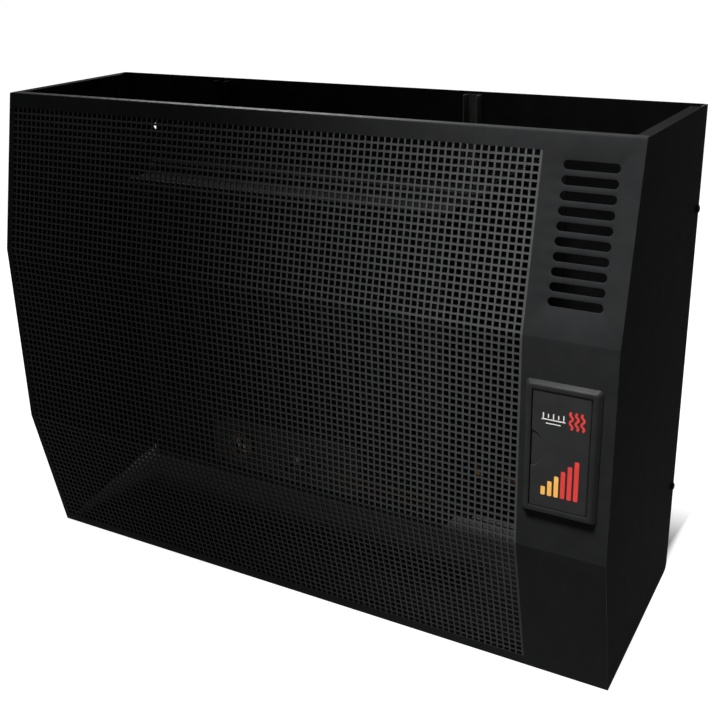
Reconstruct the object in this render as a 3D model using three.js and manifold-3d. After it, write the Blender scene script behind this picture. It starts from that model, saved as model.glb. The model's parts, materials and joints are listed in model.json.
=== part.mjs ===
// Wall mounted gas heater: a folded steel casing with a perforated front over a sealed
// combustion chamber, its burner, its balanced flue and the gas controls behind a small door.
// Millimetres. +X is to the right, +Y goes into the wall and +Z is up. The origin is on the
// wall face, at the middle of the casing's width and height.

import * as THREE from 'three';
import { mergeGeometries, mergeVertices } from 'three/addons/utils/BufferGeometryUtils.js';
import Module from 'manifold-3d';

const wasm = await Module();
wasm.setup();

// ---------------------------------------------------------------- driving dimensions

const DEG = Math.PI / 180;
const SEAT_GAP = 0.3; // between pieces that touch
const CUT_SPARE = 2; // how far a cutter runs past the face it opens
const JOIN_LAP = 1; // how far two shapes of one piece run into each other

// casing
const CASE_WIDTH = 840;
const TOP_DEPTH = 222.5; // from the wall to the front's top edge
const UPPER_RISE = 199;
const MIDDLE_RISE = 244; // height of the vertical middle facet
const LOWER_RISE = 187;
const FACET_TILT = 12 * DEG; // upper and lower facets, from the vertical middle one
const BACK_HEIGHT = 592; // side panel, along the wall
const BACK_CORNER_RADIUS = 10;
const CASE_SHEET = 1.2;
const FRONT_LIP = 12; // stiffening folds along the top and bottom edges
const SIDE_LIP = 14;

// perforation, drawn as one window for a patch of small holes
const GRILLE_LEFT_MARGIN = 10;
const PLAIN_STRIP = 105; // unperforated sheet on the right
const GRILLE_TOP_MARGIN = 18.7;
const GRILLE_BOTTOM_MARGIN = 14;
const FOLD_MARGIN = 9;
const WINDOW = 34;
const WINDOW_BAR = 20; // least bar between windows

// vent slots
const SLOT_COUNT = 10;
const SLOT_LENGTH = 57.5;
const SLOT_WIDTH = 9;
const SLOT_PITCH = 15;
const SLOT_TOP_MARGIN = 30.7; // top edge to the first slot's centre
const SLOT_RIGHT_MARGIN = 22; // right edge to the slots' right ends

// control door and the frame around it
const BEZEL_WIDTH = 82.7;
const BEZEL_HEIGHT = 152.4;
const BEZEL_RIGHT_MARGIN = 13.3;
const BEZEL_DROP = 45; // upper fold to the frame's top edge
const BEZEL_PROUD = 6;
const BEZEL_BEVEL = 4;
const BEZEL_RIM = 5; // flat band inside the bevel
const BEZEL_CORNER = 4;
const COLLAR_WALL = 2;
const COLLAR_DEPTH = 14; // behind the casing sheet
const DOOR_SHEET = 2.5;
const DOOR_RECESS = 1.2; // below the frame's rim
const DOOR_GAP = 0.8;
const KNUCKLE_RADIUS = 2.75;
const KNUCKLE_GAP = 0.3;
const HINGE_PIN_RADIUS = 1;
const HINGE_PIN_PLAY = 0.25;
const HINGE_PIN_SEAT = 3; // length held in the frame at each end
const RIM_CORNER = 3;
const OPENING_CORNER = 1;
const FINGER_RECESS = { width: 10, height: 41, depth: 1.2 };
const MAGNET = { width: 6, depth: 6, height: 20 };
const STRIKE = { width: 7, depth: 0.8, height: 22 };

// back plate
const BACK_SHEET = 1.5;
const BACK_FLANGE = 20;
const WALL_HOLE_RADIUS = 4.5;
const WALL_HOLE_INSET = 48; // from the plate's side edges
const WALL_HOLE_DROP = 75; // from the plate's top and bottom edges
const CASE_SCREW_DROP = 115;
const CASE_SCREW_INSET = 11; // from the wall
const CASE_SCREW_LENGTH = 9;

// upright channels that carry the chamber
const STRUT_WIDTH = 19;
const STRUT_DEPTH = 15;
const STRUT_SHEET = 1.5;
const STRUT_SPREAD = 188.5; // chamber's middle to each channel's middle
const STRUT_END_MARGIN = 3;

// combustion chamber
const CHAMBER_WIDTH = 460;
const CHAMBER_HEIGHT = 400;
const CHAMBER_MIDDLE_Z = 5;
const CHAMBER_STANDOFF = 50; // wall to its rear face
const SHELL_WALL = 3;
const REAR_SHELL_DEPTH = 60;
const FRONT_AIR_GAP = 94.2; // middle facet to the chamber's face
const CHAMBER_FLANGE = 12;
const CHAMBER_GASKET = 2;
const RIB_COUNT = 11;
const RIB_THICKNESS = 4;
const RIB_DEPTH = 14;
const RIB_PITCH = 38;
const RIB_TOP_MARGIN = 14;
const RIB_FOOT_RISE = 105; // chamber floor to the ribs' lower ends
const BAFFLE_RISE = 215;
const BAFFLE_SHEET = 2;
const BAFFLE_GAP = 22; // baffle to the chamber's inner face
const SHELF_SHEET = 1.5;
const SHELF_WEB = 40;
const RAIL_HEIGHT = 12;
const RAIL_DROP = 2; // chamber top to the rail's top

// flue
const FLUE_MIDDLE_Z = 105;
const AIR_DUCT_RADIUS = 75;
const AIR_DUCT_WALL = 1;
const AIR_DUCT_REACH = 40; // beyond the wall face
const DUCT_FLANGE = 15;
const FLUE_HOLE_PLAY = 6; // back plate's hole around the air duct
const DUCT_SEAL = 2;
const EXHAUST_RADIUS = 45;
const EXHAUST_WALL = 1.5;
const EXHAUST_REACH = 60;
const EXHAUST_INSET = 12; // into the chamber
const AIR_BOX_WIDTH = 170;
const AIR_BOX_SHEET = 1.2;
const AIR_BOX_TOP_MARGIN = 17; // below the chamber's top
const AIR_BOX_FOOT_MARGIN = 10; // above the chamber's floor
const AIR_PORT = { width: 120, height: 35, rise: 20 };

// burner and its cover
const BURNER_RADIUS = 16;
const BURNER_WALL = 1.5;
const BURNER_LENGTH = 386;
const BURNER_RISE = 40; // chamber floor to the burner's axis
const BURNER_SETBACK = 32; // chamber's rear face to the burner's axis
const BURNER_MOUTH_GAP = 31; // burner mouth to the chamber's inner side
const BURNER_MOUTH_FLARE = 4;
const BURNER_PORTS = { count: 12, pitch: 26, length: 14, width: 3 };
const SADDLE_THICKNESS = 3;
const SADDLE_WIDTH = 46;
const SADDLE_INSET = 45; // from the burner's ends
const INJECTOR = {
  tipRadius: 4, tipGap: 5, bodyRadius: 7, hexRadius: 12, hexLength: 10, tailRadius: 6, tailLength: 12,
};
const COVER = { width: 230, height: 74, sheet: 3, rise: 14 };
const COVER_LAP = 14; // cover edge beyond the opening it closes
const COVER_GASKET = 1.5;
const COVER_SCREW_LENGTH = 10.5;
const GLASS = { radius: 14, thickness: 3, inset: 45 }; // inset from the cover's left edge
const GLASS_RING = { wall: 6, lip: 3, front: 3 };
const SCREW = { shankRadius: 2.5, headRadius: 5, headHeight: 3.5 };
const SCREW_PLAY = 0.3;
const BOLT_PAST_NUT = 2.5;

// pilot group, inside the cover
const PILOT_SPACING = 16;
const PILOT_SHIFT = 24; // cover's middle to the pilot tube
const PILOT_GAP = 18; // pilot hood to the burner
const PILOT_BRACKET = { width: 62, sheet: 1.5, foot: 14, reach: 30 };
const PILOT_HOOD = { width: 13, depth: 14, height: 12 };
const ENTRY_LENGTH = 13; // probe and ceramic, in front of the cover
const LEAD_RADIUS = 2;
const PROBE_RADIUS = 3;
const CERAMIC_RADIUS = 4;
const SPARK_WIRE_RADIUS = 1;

// gas valve and knob
const KNOB_DROP = 20; // frame's middle to the knob's axis
const KNOB_RADIUS = 21;
const KNOB_SKIRT = 6;
const KNOB_LENGTH = 20;
const KNOB_GRIP_RADIUS = 15;
const KNOB_FLUTES = 12;
const KNOB_FLUTE_DEPTH = 1.05;
const KNOB_POINTER = { width: 3, depth: 1.2 };
const KNOB_TRAVEL = 4;
const KNOB_STANDOFF = 2.5; // knob's back to the control plate's front
const SPINDLE_RADIUS = 4;
const SLEEVE_RADIUS = 8;
const SLEEVE_LENGTH = 20;
const SLEEVE_PROUD = 8; // in front of the valve
const SLEEVE_END_PLAY = 0.9; // left behind the sleeve when it is pushed in
const VALVE_COLLAR = { radius: 14, height: 5 };
const VALVE = { width: 60, depth: 63, height: 90, drop: 5 };
const VALVE_EDGE = 4;
const VALVE_POST = { radius: 4, length: 6.5, insetX: 9, insetZ: 9 };
const VALVE_BRACKET = { width: 54, height: 56, foot: 14, sheet: 1.5 };

// control plate and push igniter
const PLATE_SETBACK = 29; // middle facet to the control plate
const PLATE_SHEET = 1.2;
const PLATE_MARGIN = 5; // past the frame's opening on each side
const KNOB_HOLE_PLAY = 1.5;
const IGNITER_RISE = 43; // frame's middle to the igniter's axis
const IGNITER = {
  bodyRadius: 9, bodyLength: 34, neckRadius: 6.5, neckLength: 7.5, boreRadius: 4.8, boreDepth: 22,
};
const IGNITER_NUT = { radius: 10.5, thickness: 3.5 };
const BUTTON_RADIUS = 4.5;
const BUTTON_PROUD = 8;
const BUTTON_LENGTH = 20;

// pipes and sensor
const BURNER_PIPE_RADIUS = 5;
const PIPE_NUT = { radius: 10, length: 12 };
const INLET = {
  pipeRadius: 8, nutRadius: 13, nutLength: 14, threadRadius: 10.5, threadLength: 16,
  boreRadius: 6, boreDepth: 20,
};
const INLET_OFFSET = { x: 15, fromFront: 23 };
const INLET_END_RISE = 25; // above the casing's lowest edge
const RISER_X_GAP = 35; // burner pipe's riser, left of the valve
const PILOT_PORT = { x: -20, fromFront: 37 };
const PROBE_PORT = { x: -8, fromFront: 25 };
const LEAD_RISER = { gap: 13, fromFront: 13 };
const LEAD_BEND = 8;
const PIPE_BEND = 14;
const BULB = { radius: 4, length: 70, offsetY: 14, rise: 37, right: 35 };
const CAPILLARY_RADIUS = 1.3;
const CAPILLARY_PORT = { x: -20, fromFront: 53 };
const CAPILLARY_BEND = 5;
const CAPILLARY_RUN_DROP = 65; // below the valve
const CLIP = { width: 10, wall: 3 };

// heat shield between chamber and controls
const SHIELD_GAP = 66; // right of the chamber
const SHIELD_SHEET = 1.2;
const SHIELD_DEPTH = 196;
const SHIELD_TOP = 250;
const SHIELD_FOOT = -120;
const SHIELD_FLANGE = 14;

// how finely round shapes are drawn
const ROUND = 20; // sides of a large round piece
const PIPE_ROUND = 10;
const SMALL_ROUND = 8;
const CAPILLARY_ROUND = 6;
const HEX = 6;
const CORNER_STEPS = 3;
const SLOT_STEPS = 6;
const BEND_STEPS = 4;

// ---------------------------------------------------------------- derived places

const HALF_WIDTH = CASE_WIDTH / 2;
const TOP_Z = (UPPER_RISE + MIDDLE_RISE + LOWER_RISE) / 2;
const UPPER_FOLD_Z = TOP_Z - UPPER_RISE;
const LOWER_FOLD_Z = UPPER_FOLD_Z - MIDDLE_RISE;
const BOTTOM_Z = LOWER_FOLD_Z - LOWER_RISE;
const BACK_BOTTOM_Z = TOP_Z - BACK_HEIGHT;
const MIDDLE_Y = -TOP_DEPTH - UPPER_RISE * Math.tan(FACET_TILT); // face of the middle facet
const BOTTOM_Y = MIDDLE_Y + LOWER_RISE * Math.tan(FACET_TILT);

const PLATE_HALF = HALF_WIDTH - CASE_SHEET - SEAT_GAP; // back plate's outer half width
const PLATE_BOTTOM = BACK_BOTTOM_Z + BACK_CORNER_RADIUS;
const PLATE_FACE = -BACK_SHEET - SEAT_GAP; // where pieces seat on the back plate

const GRILLE_LEFT = -HALF_WIDTH + GRILLE_LEFT_MARGIN;
const GRILLE_RIGHT = HALF_WIDTH - PLAIN_STRIP;
const CHAMBER_X = (GRILLE_LEFT + GRILLE_RIGHT) / 2;
const CHAMBER_LEFT = CHAMBER_X - CHAMBER_WIDTH / 2;
const CHAMBER_RIGHT = CHAMBER_X + CHAMBER_WIDTH / 2;
const CHAMBER_FLOOR = CHAMBER_MIDDLE_Z - CHAMBER_HEIGHT / 2;
const CHAMBER_TOP = CHAMBER_MIDDLE_Z + CHAMBER_HEIGHT / 2;
const CHAMBER_REAR = -CHAMBER_STANDOFF;
const REAR_FLANGE_FACE = CHAMBER_REAR - REAR_SHELL_DEPTH;
const FRONT_FLANGE_BACK = REAR_FLANGE_FACE - CHAMBER_GASKET - 2 * SEAT_GAP;
const CHAMBER_FACE = MIDDLE_Y + FRONT_AIR_GAP;

const STRUT_FRONT = PLATE_FACE - STRUT_DEPTH;
const AIR_BOX_REAR = PLATE_FACE - BACK_SHEET - DUCT_SEAL - 2 * SEAT_GAP;
const AIR_BOX_FRONT = CHAMBER_REAR + SEAT_GAP;

const BURNER_Z = CHAMBER_FLOOR + BURNER_RISE;
const BURNER_Y = CHAMBER_REAR - BURNER_SETBACK;
const BURNER_RIGHT = CHAMBER_RIGHT - SHELL_WALL - BURNER_MOUTH_GAP;
const BURNER_LEFT = BURNER_RIGHT - BURNER_LENGTH;
const COVER_X = CHAMBER_X;
const COVER_Z = CHAMBER_FLOOR + COVER.rise + COVER.height / 2;
const COVER_BACK = CHAMBER_FACE - COVER_GASKET - 2 * SEAT_GAP;
const COVER_FACE = COVER_BACK - COVER.sheet;

const BEZEL_X = HALF_WIDTH - BEZEL_RIGHT_MARGIN - BEZEL_WIDTH / 2;
const BEZEL_Z = UPPER_FOLD_Z - BEZEL_DROP - BEZEL_HEIGHT / 2;
const OPENING_WIDTH = BEZEL_WIDTH - 2 * (BEZEL_BEVEL + BEZEL_RIM);
const OPENING_HEIGHT = BEZEL_HEIGHT - 2 * (BEZEL_BEVEL + BEZEL_RIM);
const BEZEL_SEAT = MIDDLE_Y - SEAT_GAP;
const RIM_FACE = BEZEL_SEAT - BEZEL_PROUD;
const HINGE_X = BEZEL_X + OPENING_WIDTH / 2 - KNUCKLE_GAP - KNUCKLE_RADIUS;
const HINGE_Y = RIM_FACE + DOOR_RECESS + KNUCKLE_RADIUS;
const DOOR_REACH = OPENING_WIDTH - KNUCKLE_GAP - KNUCKLE_RADIUS - DOOR_GAP; // hinge to free edge
const DOOR_HEIGHT = OPENING_HEIGHT - 2 * DOOR_GAP;

const PLATE_FRONT_Y = MIDDLE_Y + PLATE_SETBACK; // control plate's front face
const VALVE_FRONT = PLATE_FRONT_Y + PLATE_SHEET + SEAT_GAP + VALVE_POST.length;
const VALVE_REAR = VALVE_FRONT + VALVE.depth;
const KNOB_Z = BEZEL_Z - KNOB_DROP;
const VALVE_Z = KNOB_Z - VALVE.drop;
const VALVE_FOOT = VALVE_Z - VALVE.height / 2;
const VALVE_LEFT = BEZEL_X - VALVE.width / 2;
const KNOB_BACK = PLATE_FRONT_Y - KNOB_STANDOFF;
const KNOB_FRONT = KNOB_BACK - KNOB_LENGTH;
const IGNITER_Z = BEZEL_Z + IGNITER_RISE;
const IGNITER_SEAT = PLATE_FRONT_Y + PLATE_SHEET + SEAT_GAP;

// ---------------------------------------------------------------- solids

const MERGE_DISTANCE = 1e-4;

/** A geometry without normals or texture coordinates, as a solid that can be joined and cut. */
function solidOf(geometry) {
  const bare = (geometry.index ? geometry.toNonIndexed() : geometry.clone());
  bare.deleteAttribute('normal');
  bare.deleteAttribute('uv');
  const merged = mergeVertices(bare, MERGE_DISTANCE);
  return new wasm.Manifold(new wasm.Mesh({
    numProp: 3,
    vertProperties: new Float32Array(merged.attributes.position.array),
    triVerts: new Uint32Array(merged.index.array),
  }));
}

/** The solid's surface as a geometry. */
function geometryOf(solid) {
  const { vertProperties, triVerts } = solid.getMesh();
  const geometry = new THREE.BufferGeometry();
  geometry.setAttribute('position', new THREE.BufferAttribute(new Float32Array(vertProperties), 3));
  geometry.setIndex(new THREE.BufferAttribute(new Uint32Array(triVerts), 1));
  geometry.computeVertexNormals();
  return geometry;
}

const join = (...solids) => solids.reduce((whole, next) => whole.add(next));
const cut = (solid, ...cutters) => cutters.reduce((whole, next) => whole.subtract(next), solid);

/** A box between two limits along each axis. */
function blockGeometry([x0, x1], [y0, y1], [z0, z1]) {
  const box = new THREE.BoxGeometry(x1 - x0, y1 - y0, z1 - z0);
  return box.translate((x0 + x1) / 2, (y0 + y1) / 2, (z0 + z1) / 2);
}
const block = (x, y, z) => solidOf(blockGeometry(x, y, z));

/** Limits of a given length around a middle. */
const around = (middle, length) => [middle - length / 2, middle + length / 2];

/** An outline of [a, b] points pushed along the third axis: x takes (y, z), z takes (x, y). */
function prism(axis, points, from, to) {
  const shape = new THREE.Shape(points.map(([a, b]) => new THREE.Vector2(a, b)));
  return extruded(axis, shape, from, to);
}

/** A shape pushed along an axis. Across y the shape is (x, z) and the depth runs to the front. */
function extruded(axis, shape, from, to) {
  const geometry = new THREE.ExtrudeGeometry(shape, {
    depth: Math.abs(to - from), bevelEnabled: false, curveSegments: CORNER_STEPS,
  });
  const turn = {
    x: [new THREE.Vector3(0, 1, 0), new THREE.Vector3(0, 0, 1), new THREE.Vector3(1, 0, 0)],
    y: [new THREE.Vector3(1, 0, 0), new THREE.Vector3(0, 0, 1), new THREE.Vector3(0, -1, 0)],
    z: [new THREE.Vector3(1, 0, 0), new THREE.Vector3(0, 1, 0), new THREE.Vector3(0, 0, 1)],
  }[axis];
  geometry.applyMatrix4(new THREE.Matrix4().makeBasis(...turn));
  const start = axis === 'y' ? Math.max(from, to) : Math.min(from, to);
  const shift = turn[2].clone().multiplyScalar(axis === 'y' ? -start : start);
  return solidOf(geometry.translate(shift.x, shift.y, shift.z));
}

/** A round bar along an axis; centre holds the two coordinates across it, in x, y, z order. */
function bar(axis, centre, radius, from, to, sides = ROUND) {
  const geometry = new THREE.CylinderGeometry(radius, radius, Math.abs(to - from), sides);
  const middle = (from + to) / 2;
  if (axis === 'x') {
    geometry.rotateZ(-Math.PI / 2).translate(middle, centre[0], centre[1]);
  } else if (axis === 'y') {
    geometry.translate(centre[0], middle, centre[1]);
  } else {
    geometry.rotateX(Math.PI / 2).translate(centre[0], centre[1], middle);
  }
  return solidOf(geometry);
}

/** A tube open at both ends. */
function tube(axis, centre, outer, inner, from, to, sides = ROUND) {
  const low = Math.min(from, to) - CUT_SPARE;
  const high = Math.max(from, to) + CUT_SPARE;
  return cut(bar(axis, centre, outer, from, to, sides), bar(axis, centre, inner, low, high, sides));
}

/** A rectangle with round corners, around a middle. */
function roundedRectangle(x, z, width, height, radius) {
  const [left, right] = around(x, width);
  const [low, high] = around(z, height);
  const shape = new THREE.Shape();
  shape.moveTo(left + radius, low);
  shape.lineTo(right - radius, low);
  shape.absarc(right - radius, low + radius, radius, -Math.PI / 2, 0);
  shape.absarc(right - radius, high - radius, radius, 0, Math.PI / 2);
  shape.absarc(left + radius, high - radius, radius, Math.PI / 2, Math.PI);
  shape.absarc(left + radius, low + radius, radius, Math.PI, 1.5 * Math.PI);
  return shape;
}

/** A solid through outlines of equal point counts, from the wall side to the front. */
function loft(sections) {
  const rings = sections.map(({ shape, y }) => {
    const points = shape.extractPoints(CORNER_STEPS).shape;
    return points.slice(0, -1).map((point) => [point.x, y, point.y]);
  });
  const count = rings[0].length;
  const flat = rings[0].map(([x, , z]) => new THREE.Vector2(x, z));
  const caps = THREE.ShapeUtils.triangulateShape(flat, []);
  const last = (rings.length - 1) * count;
  const index = [];
  for (const [a, b, c] of caps) {
    index.push(c, b, a);
    index.push(last + a, last + b, last + c);
  }
  for (let ring = 0; ring < rings.length - 1; ring += 1) {
    for (let i = 0; i < count; i += 1) {
      const back = ring * count + i;
      const backNext = ring * count + ((i + 1) % count);
      index.push(back, backNext, backNext + count);
      index.push(back, backNext + count, back + count);
    }
  }
  const geometry = new THREE.BufferGeometry();
  geometry.setAttribute('position', new THREE.Float32BufferAttribute(rings.flat(2), 3));
  geometry.setIndex(index);
  return solidOf(geometry);
}

/** Straight runs joined by round bends, with a station only where the route ends or turns. */
class PipeRoute extends THREE.Curve {
  constructor(corners, bendRadius) {
    super();
    this.places = [];
    this.directions = [];
    const points = corners.map((corner) => new THREE.Vector3(...corner));
    const last = points.length - 1;
    this.addStation(points[0], points[1].clone().sub(points[0]));
    for (let i = 1; i < last; i += 1) {
      this.addBend(points[i - 1], points[i], points[i + 1], bendRadius);
    }
    this.addStation(points[last], points[last].clone().sub(points[last - 1]));
  }

  addStation(place, direction) {
    this.places.push(place.clone());
    this.directions.push(direction.clone().normalize());
  }

  addBend(before, corner, after, radius) {
    const inward = corner.clone().sub(before).normalize();
    const outward = after.clone().sub(corner).normalize();
    const angle = inward.angleTo(outward);
    const side = outward.clone().addScaledVector(inward, -inward.dot(outward)).normalize();
    const start = corner.clone().addScaledVector(inward, -radius * Math.tan(angle / 2));
    const centre = start.clone().addScaledVector(side, radius);
    for (let step = 0; step <= BEND_STEPS; step += 1) {
      const turn = angle * step / BEND_STEPS;
      const place = centre.clone()
        .addScaledVector(side, -radius * Math.cos(turn))
        .addScaledVector(inward, radius * Math.sin(turn));
      const direction = inward.clone().multiplyScalar(Math.cos(turn))
        .addScaledVector(side, Math.sin(turn));
      this.addStation(place, direction);
    }
  }

  getPoint(t, target = new THREE.Vector3()) {
    const place = t * (this.places.length - 1);
    const before = Math.min(Math.floor(place), this.places.length - 2);
    return target.lerpVectors(this.places[before], this.places[before + 1], place - before);
  }

  getPointAt(u, target) {
    return this.getPoint(u, target);
  }

  getTangent(t, target = new THREE.Vector3()) {
    return target.copy(this.directions[Math.round(t * (this.places.length - 1))]);
  }

  getTangentAt(u, target) {
    return this.getTangent(u, target);
  }
}

/** A solid round pipe or lead along a route. */
function pipe(corners, radius, bendRadius, sides = PIPE_ROUND) {
  const route = new PipeRoute(corners, bendRadius);
  const section = Array.from({ length: sides }, (_, i) => {
    const angle = 2 * Math.PI * i / sides;
    return new THREE.Vector2(radius * Math.cos(angle), radius * Math.sin(angle));
  });
  return solidOf(new THREE.ExtrudeGeometry(new THREE.Shape(section), {
    steps: route.places.length - 1, extrudePath: route,
  }));
}

// ---------------------------------------------------------------- materials

const finish = (color, roughness, metalness = 0) => new THREE.MeshStandardMaterial({
  color, roughness, metalness, flatShading: true,
});
const BLACK_COAT = finish(0x28292a, 0.6);
const BLACK_ENAMEL = finish(0x161616, 0.45);
const BLACK_PLASTIC = finish(0x1c1d1e, 0.5);
const KNOB_PLASTIC = finish(0x3a3a3c, 0.5);
const RED_PLASTIC = finish(0xa01c18, 0.45);
const ZINC_STEEL = finish(0x9a9c9e, 0.45, 0.9);
const CAST_ALUMINIUM = finish(0xa6a8aa, 0.55, 0.9);
const BRASS = finish(0xb08d3c, 0.35, 1);
const COPPER = finish(0xb4683c, 0.35, 1);
const STAINLESS = finish(0xb8babc, 0.3, 1);
const GLASS_CLEAR = finish(0xc8d2c8, 0.05);
const FIBRE = finish(0xcfc8b8, 0.95);
const CERAMIC = finish(0xe6e2d8, 0.5);
const RUBBER = finish(0x7a1a16, 0.7);
const FERRITE = finish(0x3c3b3a, 0.8);

const heater = new THREE.Group();

/** One named piece, in a group of the heater or in the heater itself. */
function piece(name, solid, material, group = heater) {
  const mesh = new THREE.Mesh(geometryOf(solid), material);
  mesh.name = name;
  group.add(mesh);
  return mesh;
}

// ---------------------------------------------------------------- casing front

/** The front's line in the (y, z) plane, moved inwards, from its top edge to its bottom edge. */
function frontLine(inset, top = TOP_Z, bottom = BOTTOM_Z) {
  const slope = Math.tan(FACET_TILT);
  const slopedInset = inset / Math.cos(FACET_TILT);
  const foldShift = inset * Math.tan(FACET_TILT / 2);
  return [
    [-TOP_DEPTH - (TOP_Z - top) * slope + slopedInset, top],
    [MIDDLE_Y + inset, UPPER_FOLD_Z - foldShift],
    [MIDDLE_Y + inset, LOWER_FOLD_Z + foldShift],
    [BOTTOM_Y - (bottom - BOTTOM_Z) * slope + slopedInset, bottom],
  ];
}

/** A band of sheet between two insets of the front's line, across some width. */
function frontBand(outer, inner, x0, x1, top, bottom) {
  const outline = [...frontLine(outer, top, bottom), ...frontLine(inner, top, bottom).reverse()];
  return prism('x', outline, x0, x1);
}

// Each facet starts at its upper edge; tilt turns the vertical facet into it.
const FACETS = [
  { y: -TOP_DEPTH, z: TOP_Z, tilt: -FACET_TILT, length: UPPER_RISE / Math.cos(FACET_TILT) },
  { y: MIDDLE_Y, z: UPPER_FOLD_Z, tilt: 0, length: MIDDLE_RISE },
  { y: MIDDLE_Y, z: LOWER_FOLD_Z, tilt: FACET_TILT, length: LOWER_RISE / Math.cos(FACET_TILT) },
];
const [UPPER_FACET, , LOWER_FACET] = FACETS;

/** Moves a geometry drawn around the origin in (x, z) to a place on a facet. */
function onFacet(facet, geometry, x, along) {
  return geometry.translate(x, 0, -along).rotateX(facet.tilt).translate(0, facet.y, facet.z);
}

/** Equal windows over a length, with at least the given bar between them: their middles. */
function windowMiddles(from, to) {
  const count = Math.floor((to - from + WINDOW_BAR) / (WINDOW + WINDOW_BAR));
  const pitch = (to - from - WINDOW) / (count - 1);
  return Array.from({ length: count }, (_, i) => from + WINDOW / 2 + i * pitch);
}

function grilleCutters() {
  const deep = 2 * (CASE_SHEET + CUT_SPARE);
  const cutters = [];
  for (const facet of FACETS) {
    const top = facet === UPPER_FACET ? GRILLE_TOP_MARGIN : FOLD_MARGIN;
    const bottom = facet === LOWER_FACET ? GRILLE_BOTTOM_MARGIN : FOLD_MARGIN;
    for (const along of windowMiddles(top, facet.length - bottom)) {
      for (const x of windowMiddles(GRILLE_LEFT, GRILLE_RIGHT)) {
        cutters.push(onFacet(facet, new THREE.BoxGeometry(WINDOW, deep, WINDOW), x, along));
      }
    }
  }
  return solidOf(mergeGeometries(cutters));
}

function slotCutters() {
  const deep = CASE_SHEET + CUT_SPARE;
  const straight = (SLOT_LENGTH - SLOT_WIDTH) / 2;
  const end = SLOT_WIDTH / 2;
  const slot = new THREE.Shape();
  slot.absarc(straight, 0, end, -Math.PI / 2, Math.PI / 2);
  slot.absarc(-straight, 0, end, Math.PI / 2, 1.5 * Math.PI);
  const x = HALF_WIDTH - SLOT_RIGHT_MARGIN - SLOT_LENGTH / 2;
  const cutters = Array.from({ length: SLOT_COUNT }, (_, i) => {
    const geometry = new THREE.ExtrudeGeometry(slot, {
      depth: 2 * deep, bevelEnabled: false, curveSegments: SLOT_STEPS,
    });
    geometry.translate(0, 0, -deep).rotateX(Math.PI / 2);
    return onFacet(UPPER_FACET, geometry, x, SLOT_TOP_MARGIN + i * SLOT_PITCH);
  });
  return solidOf(mergeGeometries(cutters));
}

function frontPanel() {
  const lipHalf = PLATE_HALF;
  const topLip = block(
    [-lipHalf, lipHalf], [-TOP_DEPTH, -TOP_DEPTH + FRONT_LIP], [TOP_Z - CASE_SHEET, TOP_Z]);
  const bottomLip = block(
    [-lipHalf, lipHalf], [BOTTOM_Y, BOTTOM_Y + FRONT_LIP], [BOTTOM_Z, BOTTOM_Z + CASE_SHEET]);
  const sheet = join(frontBand(0, CASE_SHEET, -HALF_WIDTH, HALF_WIDTH), topLip, bottomLip);
  const doorCut = block(
    around(BEZEL_X, OPENING_WIDTH + 2 * (COLLAR_WALL + SEAT_GAP)),
    around(MIDDLE_Y, 2 * (CASE_SHEET + CUT_SPARE)),
    around(BEZEL_Z, OPENING_HEIGHT + 2 * (COLLAR_WALL + SEAT_GAP)));
  return cut(sheet, grilleCutters(), slotCutters(), doorCut);
}

piece('front_panel', frontPanel(), BLACK_COAT);

// ---------------------------------------------------------------- casing sides

const SCREW_HIGH_Z = TOP_Z - CASE_SCREW_DROP;
const SCREW_LOW_Z = PLATE_BOTTOM + CASE_SCREW_DROP;

/** The side's outline in (y, z), with the small round corner at the wall's foot. */
function sideOutline() {
  const line = frontLine(CASE_SHEET + SEAT_GAP);
  const [footY, footZ] = line[line.length - 1];
  const shape = new THREE.Shape();
  shape.moveTo(0, TOP_Z);
  line.forEach(([y, z]) => shape.lineTo(y, z));
  const rise = new THREE.Vector2(-footY, BACK_BOTTOM_Z - footZ).normalize();
  const start = new THREE.Vector2(0, BACK_BOTTOM_Z).addScaledVector(rise, -BACK_CORNER_RADIUS);
  shape.lineTo(start.x, start.y);
  shape.quadraticCurveTo(0, BACK_BOTTOM_Z, 0, BACK_BOTTOM_Z + BACK_CORNER_RADIUS);
  return shape;
}

function sidePanel(side) {
  const outer = side * HALF_WIDTH;
  const inner = side * (HALF_WIDTH - CASE_SHEET);
  const lipEnd = side * (HALF_WIDTH - SIDE_LIP);
  const wall = extruded('x', sideOutline(), outer, inner);
  const inset = CASE_SHEET + SEAT_GAP;
  const frontLip = frontBand(inset, inset + CASE_SHEET, inner, lipEnd, TOP_Z - inset, BOTTOM_Z + inset);
  const topLip = block(
    [Math.min(inner, lipEnd), Math.max(inner, lipEnd)],
    [-TOP_DEPTH + FRONT_LIP + SEAT_GAP, -BACK_FLANGE - SEAT_GAP],
    [TOP_Z - CASE_SHEET, TOP_Z]);
  const holes = [SCREW_HIGH_Z, SCREW_LOW_Z].map((z) => bar(
    'x', [-CASE_SCREW_INSET, z], SCREW.shankRadius + SCREW_PLAY,
    side * (HALF_WIDTH - CUT_SPARE), side * (HALF_WIDTH + CUT_SPARE), SMALL_ROUND));
  return cut(join(wall, frontLip, topLip), ...holes);
}

piece('side_panel_left', sidePanel(-1), BLACK_COAT);
piece('side_panel_right', sidePanel(1), BLACK_COAT);

/** A pan head screw along +y from its seat at the origin, with its head towards -y. */
function screw(length) {
  return join(
    bar('y', [0, 0], SCREW.headRadius, -SCREW.headHeight, 0, SMALL_ROUND),
    bar('y', [0, 0], SCREW.shankRadius, -SCREW.headHeight / 2, length, SMALL_ROUND));
}

for (const [side, sideName] of [[-1, 'left'], [1, 'right']]) {
  for (const [z, level] of [[SCREW_HIGH_Z, 'upper'], [SCREW_LOW_Z, 'lower']]) {
    const mesh = piece(`case_screw_${level}_${sideName}`, screw(CASE_SCREW_LENGTH), BLACK_COAT);
    mesh.rotation.z = side * Math.PI / 2;
    mesh.position.set(side * (HALF_WIDTH + SEAT_GAP), -CASE_SCREW_INSET, z);
  }
}

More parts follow.
